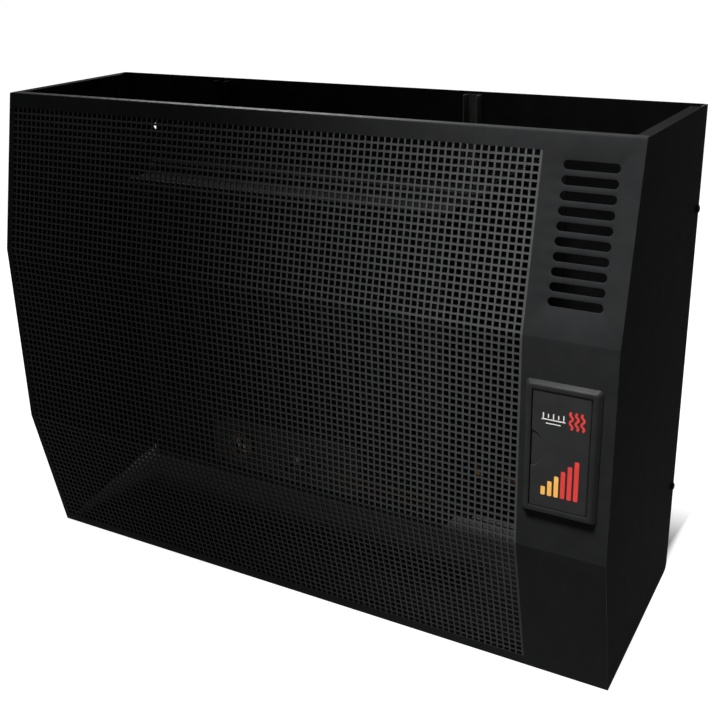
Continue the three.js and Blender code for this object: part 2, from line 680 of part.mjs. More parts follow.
// ---------------------------------------------------------------- back plate and channels

function backPlate() {
  const outline = [
    [-PLATE_HALF, 0], [-PLATE_HALF, -BACK_FLANGE], [-PLATE_HALF + BACK_SHEET, -BACK_FLANGE],
    [-PLATE_HALF + BACK_SHEET, -BACK_SHEET], [PLATE_HALF - BACK_SHEET, -BACK_SHEET],
    [PLATE_HALF - BACK_SHEET, -BACK_FLANGE], [PLATE_HALF, -BACK_FLANGE], [PLATE_HALF, 0],
  ];
  const through = [CUT_SPARE, -BACK_SHEET - CUT_SPARE];
  const wallHoles = [-1, 1].flatMap((side) => [PLATE_BOTTOM + WALL_HOLE_DROP, TOP_Z - WALL_HOLE_DROP]
    .map((z) => bar('y', [side * (PLATE_HALF - WALL_HOLE_INSET), z], WALL_HOLE_RADIUS, ...through,
      SMALL_ROUND)));
  const screwHoles = [-1, 1].flatMap((side) => [SCREW_HIGH_Z, SCREW_LOW_Z].map((z) => bar(
    'x', [-CASE_SCREW_INSET, z], SCREW.shankRadius + SCREW_PLAY,
    side * (PLATE_HALF - BACK_SHEET - CUT_SPARE), side * (PLATE_HALF + CUT_SPARE), SMALL_ROUND)));
  const flueHole = bar('y', [CHAMBER_X, FLUE_MIDDLE_Z], AIR_DUCT_RADIUS + FLUE_HOLE_PLAY, ...through);
  return cut(prism('z', outline, PLATE_BOTTOM, TOP_Z), flueHole, ...wallHoles, ...screwHoles);
}

piece('back_plate', backPlate(), BLACK_COAT);

/** An upright channel with its open side to the front. */
function strut(x) {
  const half = STRUT_WIDTH / 2;
  const webFront = PLATE_FACE - STRUT_SHEET;
  const outline = [
    [x - half, PLATE_FACE], [x - half, STRUT_FRONT], [x - half + STRUT_SHEET, STRUT_FRONT],
    [x - half + STRUT_SHEET, webFront], [x + half - STRUT_SHEET, webFront],
    [x + half - STRUT_SHEET, STRUT_FRONT], [x + half, STRUT_FRONT], [x + half, PLATE_FACE],
  ];
  return prism('z', outline, PLATE_BOTTOM + STRUT_END_MARGIN, TOP_Z - STRUT_END_MARGIN);
}

piece('strut_left', strut(CHAMBER_X - STRUT_SPREAD), BLACK_COAT);
piece('strut_right', strut(CHAMBER_X + STRUT_SPREAD), BLACK_COAT);

/** The angle under the chamber, hung on the channels. */
function chamberShelf() {
  const back = STRUT_FRONT - SEAT_GAP;
  const top = CHAMBER_FLOOR - SEAT_GAP;
  const front = REAR_FLANGE_FACE + SHELL_WALL + SEAT_GAP;
  const outline = [
    [back, top], [back, top - SHELF_WEB], [back - SHELF_SHEET, top - SHELF_WEB],
    [back - SHELF_SHEET, top - SHELF_SHEET], [front, top - SHELF_SHEET], [front, top],
  ];
  return prism('x', outline, CHAMBER_LEFT, CHAMBER_RIGHT);
}

/** The channel that holds the chamber's upper edge off the struts. */
function chamberRail() {
  const back = STRUT_FRONT - SEAT_GAP;
  const front = CHAMBER_REAR + SEAT_GAP;
  const top = CHAMBER_TOP - RAIL_DROP;
  const foot = top - RAIL_HEIGHT;
  const outline = [
    [back, top], [front, top], [front, top - SHELF_SHEET], [back - SHELF_SHEET, top - SHELF_SHEET],
    [back - SHELF_SHEET, foot + SHELF_SHEET], [front, foot + SHELF_SHEET], [front, foot], [back, foot],
  ];
  return prism('x', outline, CHAMBER_LEFT, CHAMBER_RIGHT);
}

piece('chamber_shelf', chamberShelf(), ZINC_STEEL);
piece('chamber_rail', chamberRail(), ZINC_STEEL);

// ---------------------------------------------------------------- combustion chamber

const FLANGE_WIDTH = CHAMBER_WIDTH + 2 * CHAMBER_FLANGE;
const FLANGE_HEIGHT = CHAMBER_HEIGHT + 2 * CHAMBER_FLANGE;
const FLANGE_BOLTS = [-1, 1].flatMap((side) => [-1, 1].map((level) => ({
  x: CHAMBER_X + side * (CHAMBER_WIDTH + CHAMBER_FLANGE) / 2,
  z: CHAMBER_MIDDLE_Z + level * (CHAMBER_HEIGHT + CHAMBER_FLANGE) / 2,
  name: `flange_bolt_${level > 0 ? 'upper' : 'lower'}_${side > 0 ? 'right' : 'left'}`,
})));

/** Round holes for the flange bolts between two depths. */
const boltHoles = (from, to) => FLANGE_BOLTS.map(({ x, z }) => bar(
  'y', [x, z], SCREW.shankRadius + SCREW_PLAY, from + CUT_SPARE, to - CUT_SPARE, SMALL_ROUND));

const chamberBlock = (inset, from, to) => block(
  around(CHAMBER_X, CHAMBER_WIDTH - 2 * inset), [Math.min(from, to), Math.max(from, to)],
  around(CHAMBER_MIDDLE_Z, CHAMBER_HEIGHT - 2 * inset));
const flangeBlock = (inset, from, to) => block(
  around(CHAMBER_X, FLANGE_WIDTH - 2 * inset), [Math.min(from, to), Math.max(from, to)],
  around(CHAMBER_MIDDLE_Z, FLANGE_HEIGHT - 2 * inset));

function rearShell() {
  const flangeBack = REAR_FLANGE_FACE + SHELL_WALL;
  const pan = join(
    chamberBlock(0, CHAMBER_REAR, REAR_FLANGE_FACE),
    flangeBlock(0, flangeBack, REAR_FLANGE_FACE));
  const hollow = chamberBlock(SHELL_WALL, CHAMBER_REAR - SHELL_WALL, REAR_FLANGE_FACE - CUT_SPARE);
  const through = [CHAMBER_REAR + CUT_SPARE, CHAMBER_REAR - SHELL_WALL - CUT_SPARE];
  const exhaustHole = bar('y', [CHAMBER_X, FLUE_MIDDLE_Z], EXHAUST_RADIUS + SEAT_GAP, ...through);
  const airHole = airPort(...through);
  const injectorHole = bar('x', [BURNER_Y, BURNER_Z], INJECTOR.bodyRadius + SEAT_GAP,
    CHAMBER_RIGHT - SHELL_WALL - CUT_SPARE, CHAMBER_RIGHT + CUT_SPARE, SMALL_ROUND);
  return cut(pan, hollow, exhaustHole, airHole, injectorHole, ...boltHoles(flangeBack, REAR_FLANGE_FACE));
}

/** The way for air from the air box into the chamber. */
function airPort(from, to) {
  return block(
    around(CHAMBER_X, AIR_PORT.width), [Math.min(from, to), Math.max(from, to)],
    [CHAMBER_FLOOR + AIR_PORT.rise, CHAMBER_FLOOR + AIR_PORT.rise + AIR_PORT.height]);
}

function chamberGasket() {
  const back = REAR_FLANGE_FACE - SEAT_GAP;
  const front = back - CHAMBER_GASKET;
  const ring = flangeBlock(SEAT_GAP, back, front);
  const middle = chamberBlock(SHELL_WALL / 2, back + CUT_SPARE, front - CUT_SPARE);
  return cut(ring, middle, ...boltHoles(back, front));
}

function coverScrewPlaces() {
  const inset = COVER_LAP / 2;
  return [-1, 1].flatMap((side) => [-1, 1].map((level) => ({
    x: COVER_X + side * (COVER.width / 2 - inset),
    z: COVER_Z + level * (COVER.height / 2 - inset),
    name: `cover_screw_${level > 0 ? 'upper' : 'lower'}_${side > 0 ? 'right' : 'left'}`,
  })));
}

const coverHoles = (from, to) => coverScrewPlaces().map(({ x, z }) => bar(
  'y', [x, z], SCREW.shankRadius + SCREW_PLAY, from + CUT_SPARE, to - CUT_SPARE, SMALL_ROUND));
const coverOpening = (from, to) => block(
  around(COVER_X, COVER.width - 2 * COVER_LAP), [to - CUT_SPARE, from + CUT_SPARE],
  around(COVER_Z, COVER.height - 2 * COVER_LAP));

function frontShell() {
  const flangeFront = FRONT_FLANGE_BACK - SHELL_WALL;
  const pan = join(
    chamberBlock(0, FRONT_FLANGE_BACK, CHAMBER_FACE),
    flangeBlock(0, FRONT_FLANGE_BACK, flangeFront));
  const ribs = Array.from({ length: RIB_COUNT }, (_, i) => block(
    around(CHAMBER_X + (i - (RIB_COUNT - 1) / 2) * RIB_PITCH, RIB_THICKNESS),
    [CHAMBER_FACE - RIB_DEPTH, CHAMBER_FACE + SHELL_WALL / 2],
    [CHAMBER_FLOOR + RIB_FOOT_RISE, CHAMBER_TOP - RIB_TOP_MARGIN]));
  const hollow = chamberBlock(SHELL_WALL, FRONT_FLANGE_BACK + CUT_SPARE, CHAMBER_FACE + SHELL_WALL);
  const faceBack = CHAMBER_FACE + SHELL_WALL;
  return cut(join(pan, ...ribs), hollow, coverOpening(faceBack, CHAMBER_FACE),
    ...coverHoles(faceBack, CHAMBER_FACE), ...boltHoles(FRONT_FLANGE_BACK, flangeFront));
}

piece('chamber_rear_shell', rearShell(), BLACK_ENAMEL);
piece('chamber_gasket', chamberGasket(), FIBRE);
piece('chamber_front_shell', frontShell(), BLACK_ENAMEL);

/** The plate that turns the hot gas to the front before it leaves at the rear. */
function chamberBaffle() {
  return block(
    around(CHAMBER_X, CHAMBER_WIDTH - 2 * (SHELL_WALL + SEAT_GAP)),
    [CHAMBER_FACE + SHELL_WALL + BAFFLE_GAP, CHAMBER_REAR - SHELL_WALL - SEAT_GAP],
    [CHAMBER_FLOOR + BAFFLE_RISE, CHAMBER_FLOOR + BAFFLE_RISE + BAFFLE_SHEET]);
}

piece('chamber_baffle', chamberBaffle(), STAINLESS);

/** A hexagon bolt with its nut, as fitted: the head in front of the flanges, the nut behind. */
function flangeBolt(x, z) {
  const headBack = FRONT_FLANGE_BACK - SHELL_WALL - SEAT_GAP;
  const nutFront = REAR_FLANGE_FACE + SHELL_WALL + SEAT_GAP;
  return join(
    bar('y', [x, z], SCREW.headRadius, headBack - SCREW.headHeight, headBack, HEX),
    bar('y', [x, z], SCREW.headRadius, nutFront, nutFront + SCREW.headHeight, HEX),
    bar('y', [x, z], SCREW.shankRadius, headBack - SCREW.headHeight / 2,
      nutFront + SCREW.headHeight + BOLT_PAST_NUT, SMALL_ROUND));
}

FLANGE_BOLTS.forEach(({ x, z, name }) => piece(name, flangeBolt(x, z), ZINC_STEEL));

// ---------------------------------------------------------------- flue

function airDuct() {
  const flangeFront = PLATE_FACE - BACK_SHEET;
  const inner = AIR_DUCT_RADIUS - AIR_DUCT_WALL;
  const body = join(
    bar('y', [CHAMBER_X, FLUE_MIDDLE_Z], AIR_DUCT_RADIUS, flangeFront, AIR_DUCT_REACH),
    bar('y', [CHAMBER_X, FLUE_MIDDLE_Z], AIR_DUCT_RADIUS + DUCT_FLANGE, flangeFront, PLATE_FACE));
  return cut(body, bar('y', [CHAMBER_X, FLUE_MIDDLE_Z], inner,
    flangeFront - CUT_SPARE, AIR_DUCT_REACH + CUT_SPARE));
}

function airBox() {
  const [left, right] = around(CHAMBER_X, AIR_BOX_WIDTH);
  const low = CHAMBER_FLOOR + AIR_BOX_FOOT_MARGIN;
  const high = CHAMBER_TOP - AIR_BOX_TOP_MARGIN;
  const t = AIR_BOX_SHEET;
  const shell = block([left, right], [AIR_BOX_FRONT, AIR_BOX_REAR], [low, high]);
  const hollow = block(
    [left + t, right - t], [AIR_BOX_FRONT + t, AIR_BOX_REAR - t], [low + t, high - t]);
  const airHole = bar('y', [CHAMBER_X, FLUE_MIDDLE_Z], AIR_DUCT_RADIUS - AIR_DUCT_WALL,
    AIR_BOX_REAR + CUT_SPARE, AIR_BOX_REAR - t - CUT_SPARE);
  const exhaustHole = bar('y', [CHAMBER_X, FLUE_MIDDLE_Z], EXHAUST_RADIUS + SEAT_GAP,
    AIR_BOX_FRONT - CUT_SPARE, AIR_BOX_FRONT + t + CUT_SPARE);
  return cut(shell, hollow, airHole, exhaustHole,
    airPort(AIR_BOX_FRONT - CUT_SPARE, AIR_BOX_FRONT + t + CUT_SPARE));
}

const SEAL_BACK = PLATE_FACE - BACK_SHEET - SEAT_GAP;
piece('air_duct', airDuct(), ZINC_STEEL);
piece('duct_seal', tube('y', [CHAMBER_X, FLUE_MIDDLE_Z], AIR_DUCT_RADIUS + DUCT_FLANGE,
  AIR_DUCT_RADIUS, SEAL_BACK - DUCT_SEAL, SEAL_BACK), FIBRE);
piece('exhaust_duct', tube('y', [CHAMBER_X, FLUE_MIDDLE_Z], EXHAUST_RADIUS,
  EXHAUST_RADIUS - EXHAUST_WALL, CHAMBER_REAR - EXHAUST_INSET, EXHAUST_REACH), STAINLESS);
piece('air_box', airBox(), ZINC_STEEL);

// ---------------------------------------------------------------- burner

function burnerTube() {
  const axis = [BURNER_Y, BURNER_Z];
  const shell = bar('x', axis, BURNER_RADIUS, BURNER_LEFT, BURNER_RIGHT);
  const mouth = bar('x', axis, BURNER_RADIUS + BURNER_MOUTH_FLARE, BURNER_RIGHT - BURNER_WALL,
    BURNER_RIGHT);
  const bore = bar('x', axis, BURNER_RADIUS - BURNER_WALL, BURNER_LEFT + BURNER_WALL,
    BURNER_RIGHT + CUT_SPARE);
  const middle = (BURNER_LEFT + BURNER_RIGHT) / 2;
  const ports = Array.from({ length: BURNER_PORTS.count }, (_, i) => block(
    around(middle + (i - (BURNER_PORTS.count - 1) / 2) * BURNER_PORTS.pitch, BURNER_PORTS.length),
    around(BURNER_Y, BURNER_PORTS.width), [BURNER_Z + BURNER_RADIUS / 2, BURNER_Z + 2 * BURNER_RADIUS]));
  return cut(join(shell, mouth), bore, ...ports);
}

/** A plate on the chamber's floor with a half round seat for the burner. */
function burnerSaddle(x) {
  const plate = block(
    around(x, SADDLE_THICKNESS), around(BURNER_Y, SADDLE_WIDTH),
    [CHAMBER_FLOOR + SHELL_WALL + SEAT_GAP, BURNER_Z]);
  return cut(plate, bar('x', [BURNER_Y, BURNER_Z], BURNER_RADIUS + SEAT_GAP,
    x - SADDLE_THICKNESS, x + SADDLE_THICKNESS));
}

const INJECTOR_SEAT = CHAMBER_RIGHT + SEAT_GAP;
const INJECTOR_END = INJECTOR_SEAT + INJECTOR.hexLength + INJECTOR.tailLength;

/** The brass jet: its tip at the burner's mouth, its hexagon outside the chamber's side. */
function injector() {
  const axis = [BURNER_Y, BURNER_Z];
  const tip = BURNER_RIGHT + INJECTOR.tipGap;
  const shoulder = INJECTOR_SEAT - SHELL_WALL - INJECTOR.tipRadius;
  const hexEnd = INJECTOR_SEAT + INJECTOR.hexLength;
  return join(
    bar('x', axis, INJECTOR.tipRadius, tip, shoulder + JOIN_LAP, SMALL_ROUND),
    bar('x', axis, INJECTOR.bodyRadius, shoulder, hexEnd - JOIN_LAP, SMALL_ROUND),
    bar('x', axis, INJECTOR.hexRadius, INJECTOR_SEAT, hexEnd, HEX),
    bar('x', axis, INJECTOR.tailRadius, hexEnd - JOIN_LAP, INJECTOR_END, SMALL_ROUND));
}

piece('burner_tube', burnerTube(), STAINLESS);
piece('burner_saddle_left', burnerSaddle(BURNER_LEFT + SADDLE_INSET), ZINC_STEEL);
piece('burner_saddle_right', burnerSaddle(BURNER_RIGHT - SADDLE_INSET), ZINC_STEEL);
piece('injector', injector(), BRASS);

// ---------------------------------------------------------------- burner cover, sight glass

const GLASS_X = COVER_X - COVER.width / 2 + GLASS.inset;
const GLASS_BACK = COVER_FACE - SEAT_GAP;
// From left to right; the one on the left runs along the front, so that no two leads cross.
const ELECTRODE_X = COVER_X + PILOT_SHIFT;
const PROBE_X = ELECTRODE_X + PILOT_SPACING;
const PILOT_X = PROBE_X + PILOT_SPACING;
const PILOT_Z = COVER_Z;

function coverGasket() {
  const back = CHAMBER_FACE - SEAT_GAP;
  const front = back - COVER_GASKET;
  const plate = block(around(COVER_X, COVER.width), [front, back], around(COVER_Z, COVER.height));
  return cut(plate, coverOpening(back, front), ...coverHoles(back, front));
}

function burnerCover() {
  const plate = extruded('y',
    roundedRectangle(COVER_X, COVER_Z, COVER.width, COVER.height, COVER_LAP / 2), COVER_BACK, COVER_FACE);
  const through = [COVER_BACK + CUT_SPARE, COVER_FACE - CUT_SPARE];
  const sight = bar('y', [GLASS_X, COVER_Z], GLASS.radius - GLASS_RING.lip, ...through);
  const entries = [[ELECTRODE_X, CERAMIC_RADIUS], [PROBE_X, PROBE_RADIUS], [PILOT_X, LEAD_RADIUS]]
    .map(([x, radius]) => bar('y', [x, PILOT_Z], radius + SEAT_GAP, ...through, SMALL_ROUND));
  return cut(plate, sight, ...entries, ...coverHoles(COVER_BACK, COVER_FACE));
}

function glassRing() {
  const outer = GLASS.radius + GLASS_RING.wall;
  const front = GLASS_BACK - GLASS.thickness - SEAT_GAP - GLASS_RING.front;
  const ring = bar('y', [GLASS_X, COVER_Z], outer, front, GLASS_BACK);
  const seat = bar('y', [GLASS_X, COVER_Z], GLASS.radius + SEAT_GAP,
    front + GLASS_RING.front, GLASS_BACK + CUT_SPARE);
  const view = bar('y', [GLASS_X, COVER_Z], GLASS.radius - GLASS_RING.lip,
    front - CUT_SPARE, GLASS_BACK);
  return cut(ring, seat, view);
}

piece('cover_gasket', coverGasket(), FIBRE);
piece('burner_cover', burnerCover(), ZINC_STEEL);
piece('sight_glass', bar('y', [GLASS_X, COVER_Z], GLASS.radius,
  GLASS_BACK - GLASS.thickness, GLASS_BACK), GLASS_CLEAR);
piece('sight_glass_ring', glassRing(), BRASS);
coverScrewPlaces().forEach(({ x, z, name }) => {
  const mesh = piece(name, screw(COVER_SCREW_LENGTH), ZINC_STEEL);
  mesh.position.set(x, COVER_FACE - SEAT_GAP, z);
});

// ---------------------------------------------------------------- pilot group

const PILOT_INNER_Y = BURNER_Y - BURNER_RADIUS - PILOT_GAP - PILOT_HOOD.depth;
const BRACKET_X = PROBE_X;
const BRACKET_TOP = PILOT_Z - CERAMIC_RADIUS - SEAT_GAP;

/** An angle on the cover's inner face, under the pilot tube, probe and electrode. */
function pilotBracket() {
  const back = COVER_BACK + SEAT_GAP;
  const low = BRACKET_TOP - PILOT_BRACKET.foot;
  const outline = [
    [back, BRACKET_TOP], [back, low], [back + PILOT_BRACKET.sheet, low],
    [back + PILOT_BRACKET.sheet, BRACKET_TOP - PILOT_BRACKET.sheet],
    [back + PILOT_BRACKET.reach, BRACKET_TOP - PILOT_BRACKET.sheet], [back + PILOT_BRACKET.reach, BRACKET_TOP],
  ];
  const [left, right] = around(BRACKET_X, PILOT_BRACKET.width);
  return prism('x', outline, left, right);
}

const PILOT_PORT_Y = VALVE_FRONT + PILOT_PORT.fromFront;
const PROBE_PORT_Y = VALVE_FRONT + PROBE_PORT.fromFront;
const LEAD_RISER_X = VALVE_LEFT - LEAD_RISER.gap;
const LEAD_RISER_Y = VALVE_FRONT + LEAD_RISER.fromFront;
const VALVE_PORT_Z = VALVE_FOOT - SEAT_GAP;

/** A line from inside the chamber, out through the cover, along and up to a port of the valve. */
const leadToValve = (x, portX, portY) => pipe([
  [x, PILOT_INNER_Y, PILOT_Z], [x, portY, PILOT_Z], [portX, portY, PILOT_Z], [portX, portY, VALVE_PORT_Z],
], LEAD_RADIUS, LEAD_BEND, SMALL_ROUND);

function pilotBurner() {
  const hood = block(
    around(PILOT_X, PILOT_HOOD.width), [PILOT_INNER_Y - JOIN_LAP, PILOT_INNER_Y + PILOT_HOOD.depth],
    [BRACKET_TOP + SEAT_GAP, BRACKET_TOP + SEAT_GAP + PILOT_HOOD.height]);
  return join(leadToValve(PILOT_X, BEZEL_X + PILOT_PORT.x, PILOT_PORT_Y), hood);
}

const ENTRY_FRONT = COVER_FACE - ENTRY_LENGTH;

function thermocouple() {
  const probe = bar('y', [PROBE_X, PILOT_Z], PROBE_RADIUS, ENTRY_FRONT,
    PILOT_INNER_Y + PILOT_HOOD.depth, SMALL_ROUND);
  return join(leadToValve(PROBE_X, BEZEL_X + PROBE_PORT.x, PROBE_PORT_Y), probe);
}

/** The ceramic rod with the spark wire at its inner end. */
function ignitionElectrode() {
  const centre = [ELECTRODE_X, PILOT_Z];
  return join(
    bar('y', centre, CERAMIC_RADIUS, ENTRY_FRONT, PILOT_INNER_Y, SMALL_ROUND),
    bar('y', centre, SPARK_WIRE_RADIUS, PILOT_INNER_Y - JOIN_LAP, PILOT_INNER_Y + PILOT_HOOD.depth,
      SMALL_ROUND));
}

/** The insulated lead from the electrode up to the push igniter's rear end. */
function ignitionLead() {
  const rear = IGNITER_SEAT + IGNITER.bodyLength + SEAT_GAP;
  const turnY = rear + 2 * LEAD_BEND;
  const x = ELECTRODE_X;
  return pipe([
    [x, ENTRY_FRONT - SEAT_GAP, PILOT_Z], [x, LEAD_RISER_Y, PILOT_Z],
    [LEAD_RISER_X, LEAD_RISER_Y, PILOT_Z], [LEAD_RISER_X, LEAD_RISER_Y, IGNITER_Z],
    [LEAD_RISER_X, turnY, IGNITER_Z], [BEZEL_X, turnY, IGNITER_Z], [BEZEL_X, rear, IGNITER_Z],
  ], LEAD_RADIUS, LEAD_BEND, SMALL_ROUND);
}

piece('pilot_bracket', pilotBracket(), ZINC_STEEL);
piece('pilot_burner', pilotBurner(), COPPER);
piece('thermocouple', thermocouple(), COPPER);
piece('ignition_electrode', ignitionElectrode(), CERAMIC);
piece('ignition_lead', ignitionLead(), RUBBER);

// ---------------------------------------------------------------- gas valve

const OUTLET_Y = (VALVE_FRONT + VALVE_REAR) / 2;
const INLET_X = BEZEL_X + INLET_OFFSET.x;
const INLET_Y = VALVE_FRONT + INLET_OFFSET.fromFront;

function gasValve() {
  const edge = VALVE_EDGE;
  const wide = (inset) => around(BEZEL_X, VALVE.width - 2 * inset);
  const tall = (inset) => around(VALVE_Z, VALVE.height - 2 * inset);
  const body = join(
    block(wide(0), [VALVE_FRONT + edge, VALVE_REAR - edge], tall(0)),
    block(wide(edge), [VALVE_FRONT, VALVE_REAR], tall(edge)));
  const collar = bar('y', [BEZEL_X, KNOB_Z], VALVE_COLLAR.radius,
    VALVE_FRONT - VALVE_COLLAR.height, VALVE_FRONT + edge);
  const posts = [-1, 1].flatMap((side) => [-1, 1].map((level) => bar(
    'y', [BEZEL_X + side * (VALVE.width / 2 - VALVE_POST.insetX),
      VALVE_Z + level * (VALVE.height / 2 - VALVE_POST.insetZ)],
    VALVE_POST.radius, VALVE_FRONT - VALVE_POST.length, VALVE_FRONT + edge, SMALL_ROUND)));
  const bore = bar('y', [BEZEL_X, KNOB_Z], SLEEVE_RADIUS + SEAT_GAP,
    VALVE_FRONT - VALVE_COLLAR.height - CUT_SPARE,
    VALVE_FRONT - SLEEVE_PROUD + SLEEVE_LENGTH + KNOB_TRAVEL + SLEEVE_END_PLAY);
  return cut(join(body, collar, ...posts), bore);
}

/** The pressed hat that carries the valve off the back plate. */
function valveBracket() {
  const { width, foot, sheet } = VALVE_BRACKET;
  const half = width / 2;
  const seat = PLATE_FACE;
  const front = VALVE_REAR + SEAT_GAP;
  const x = BEZEL_X;
  const outline = [
    [x - half - foot, seat], [x - half - foot, seat - sheet], [x - half, seat - sheet],
    [x - half, front], [x + half, front], [x + half, seat - sheet],
    [x + half + foot, seat - sheet], [x + half + foot, seat], [x + half - sheet, seat],
    [x + half - sheet, front + sheet], [x - half + sheet, front + sheet], [x - half + sheet, seat],
  ];
  const [low, high] = around(VALVE_Z, VALVE_BRACKET.height);
  return prism('z', outline, low, high);
}

piece('gas_valve', gasValve(), CAST_ALUMINIUM);
piece('valve_bracket', valveBracket(), ZINC_STEEL);

const SLEEVE_FRONT = VALVE_FRONT - SLEEVE_PROUD;
const SPINDLE_FRONT = KNOB_FRONT + KNOB_SKIRT;

piece('push_sleeve', tube('y', [BEZEL_X, KNOB_Z], SLEEVE_RADIUS, SPINDLE_RADIUS + SEAT_GAP,
  SLEEVE_FRONT, SLEEVE_FRONT + SLEEVE_LENGTH), BRASS);
piece('knob_spindle', bar('y', [BEZEL_X, KNOB_Z], SPINDLE_RADIUS,
  SPINDLE_FRONT, SLEEVE_FRONT + SLEEVE_LENGTH), STAINLESS);

/** The knob, drawn around its own axis with its back at the origin. */
function controlKnob() {
  const fluted = Array.from({ length: 2 * KNOB_FLUTES }, (_, i) => {
    const angle = Math.PI * i / KNOB_FLUTES;
    const radius = KNOB_GRIP_RADIUS - (i % 2) * KNOB_FLUTE_DEPTH;
    return [radius * Math.cos(angle), radius * Math.sin(angle)];
  });
  const knob = join(
    bar('y', [0, 0], KNOB_RADIUS, -KNOB_SKIRT, 0),
    prism('y', fluted, -KNOB_LENGTH, -KNOB_SKIRT / 2));
  const bore = bar('y', [0, 0], SPINDLE_RADIUS + SEAT_GAP,
    SPINDLE_FRONT - KNOB_BACK - SEAT_GAP, CUT_SPARE);
  const pointer = block(around(0, KNOB_POINTER.width),
    [-KNOB_LENGTH - CUT_SPARE, -KNOB_LENGTH + KNOB_POINTER.depth], [0, KNOB_RADIUS]);
  return cut(knob, bore, pointer);
}

const knob = piece('control_knob', controlKnob(), KNOB_PLASTIC);
knob.position.set(BEZEL_X, KNOB_BACK, KNOB_Z);

// ---------------------------------------------------------------- control plate and igniter

function controlPlate() {
  const plate = extruded('y', roundedRectangle(BEZEL_X, BEZEL_Z,
    OPENING_WIDTH + 2 * PLATE_MARGIN, OPENING_HEIGHT + 2 * PLATE_MARGIN, BEZEL_CORNER),
  PLATE_FRONT_Y, PLATE_FRONT_Y + PLATE_SHEET);
  const through = [PLATE_FRONT_Y - CUT_SPARE, PLATE_FRONT_Y + PLATE_SHEET + CUT_SPARE];
  return cut(plate,
    bar('y', [BEZEL_X, KNOB_Z], KNOB_RADIUS + KNOB_HOLE_PLAY, ...through),
    bar('y', [BEZEL_X, IGNITER_Z], IGNITER.neckRadius + SEAT_GAP, ...through));
}

function igniterBody() {
  const neckFront = IGNITER_SEAT - IGNITER.neckLength;
  const body = join(
    bar('y', [BEZEL_X, IGNITER_Z], IGNITER.bodyRadius, IGNITER_SEAT, IGNITER_SEAT + IGNITER.bodyLength),
    bar('y', [BEZEL_X, IGNITER_Z], IGNITER.neckRadius, neckFront, IGNITER_SEAT + JOIN_LAP));
  return cut(body, bar('y', [BEZEL_X, IGNITER_Z], IGNITER.boreRadius,
    neckFront - CUT_SPARE, neckFront + IGNITER.boreDepth));
}

const NUT_BACK = PLATE_FRONT_Y - SEAT_GAP;
const BUTTON_FRONT = IGNITER_SEAT - IGNITER.neckLength - BUTTON_PROUD;

function igniterNut() {
  const nut = bar('y', [BEZEL_X, IGNITER_Z], IGNITER_NUT.radius, NUT_BACK - IGNITER_NUT.thickness,
    NUT_BACK, HEX);
  return cut(nut, bar('y', [BEZEL_X, IGNITER_Z], IGNITER.neckRadius + SEAT_GAP,
    NUT_BACK - IGNITER_NUT.thickness - CUT_SPARE, NUT_BACK + CUT_SPARE));
}

piece('control_plate', controlPlate(), BLACK_COAT);
piece('igniter_body', igniterBody(), BLACK_PLASTIC);
piece('igniter_nut', igniterNut(), ZINC_STEEL);
piece('igniter_button', bar('y', [BEZEL_X, IGNITER_Z], BUTTON_RADIUS,
  BUTTON_FRONT, BUTTON_FRONT + BUTTON_LENGTH), RED_PLASTIC);

// ---------------------------------------------------------------- pipes and sensor

/** The gas pipe from the valve's left side to the injector, with a nut at each end. */
function burnerPipe() {
  const start = INJECTOR_END + SEAT_GAP;
  const end = VALVE_LEFT - SEAT_GAP;
  const riserX = VALVE_LEFT - RISER_X_GAP;
  const z = VALVE_Z;
  const run = pipe([
    [start, BURNER_Y, BURNER_Z], [riserX, BURNER_Y, BURNER_Z], [riserX, BURNER_Y, z],
    [riserX, OUTLET_Y, z], [end, OUTLET_Y, z],
  ], BURNER_PIPE_RADIUS, PIPE_BEND);
  return join(run,
    bar('x', [BURNER_Y, BURNER_Z], PIPE_NUT.radius, start, start + PIPE_NUT.length, HEX),
    bar('x', [OUTLET_Y, z], PIPE_NUT.radius, end - PIPE_NUT.length, end, HEX));
}

/** The supply pipe down from the valve, ending in a threaded union with an open bore. */
function gasInlet() {
  const top = VALVE_FOOT - SEAT_GAP;
  const end = BOTTOM_Z + INLET_END_RISE;
  const threadTop = end + INLET.threadLength;
  const axis = [INLET_X, INLET_Y];
  const pipeBody = join(
    bar('z', axis, INLET.pipeRadius, end + JOIN_LAP, top - JOIN_LAP),
    bar('z', axis, INLET.nutRadius, top - INLET.nutLength, top, HEX),
    bar('z', axis, INLET.nutRadius, threadTop, threadTop + INLET.nutLength, HEX),
    bar('z', axis, INLET.threadRadius, end, threadTop + JOIN_LAP));
  return cut(pipeBody, bar('z', axis, INLET.boreRadius, end - CUT_SPARE, end + INLET.boreDepth, SMALL_ROUND));
}

const BULB_Y = PLATE_FACE - BULB.offsetY;
const BULB_Z = PLATE_BOTTOM + BULB.rise;
const BULB_RIGHT = BEZEL_X - BULB.right;

/** The temperature bulb near the casing's foot, and its thin tube up to the valve. */
function sensorBulb() {
  const portX = BEZEL_X + CAPILLARY_PORT.x;
  const portY = VALVE_FRONT + CAPILLARY_PORT.fromFront;
  const runZ = VALVE_FOOT - CAPILLARY_RUN_DROP;
  const line = pipe([
    [BULB_RIGHT - JOIN_LAP, BULB_Y, BULB_Z], [portX, BULB_Y, BULB_Z], [portX, BULB_Y, runZ],
    [portX, portY, runZ], [portX, portY, VALVE_PORT_Z],
  ], CAPILLARY_RADIUS, CAPILLARY_BEND, CAPILLARY_ROUND);
  return join(line, bar('x', [BULB_Y, BULB_Z], BULB.radius, BULB_RIGHT - BULB.length, BULB_RIGHT,
    SMALL_ROUND));
}

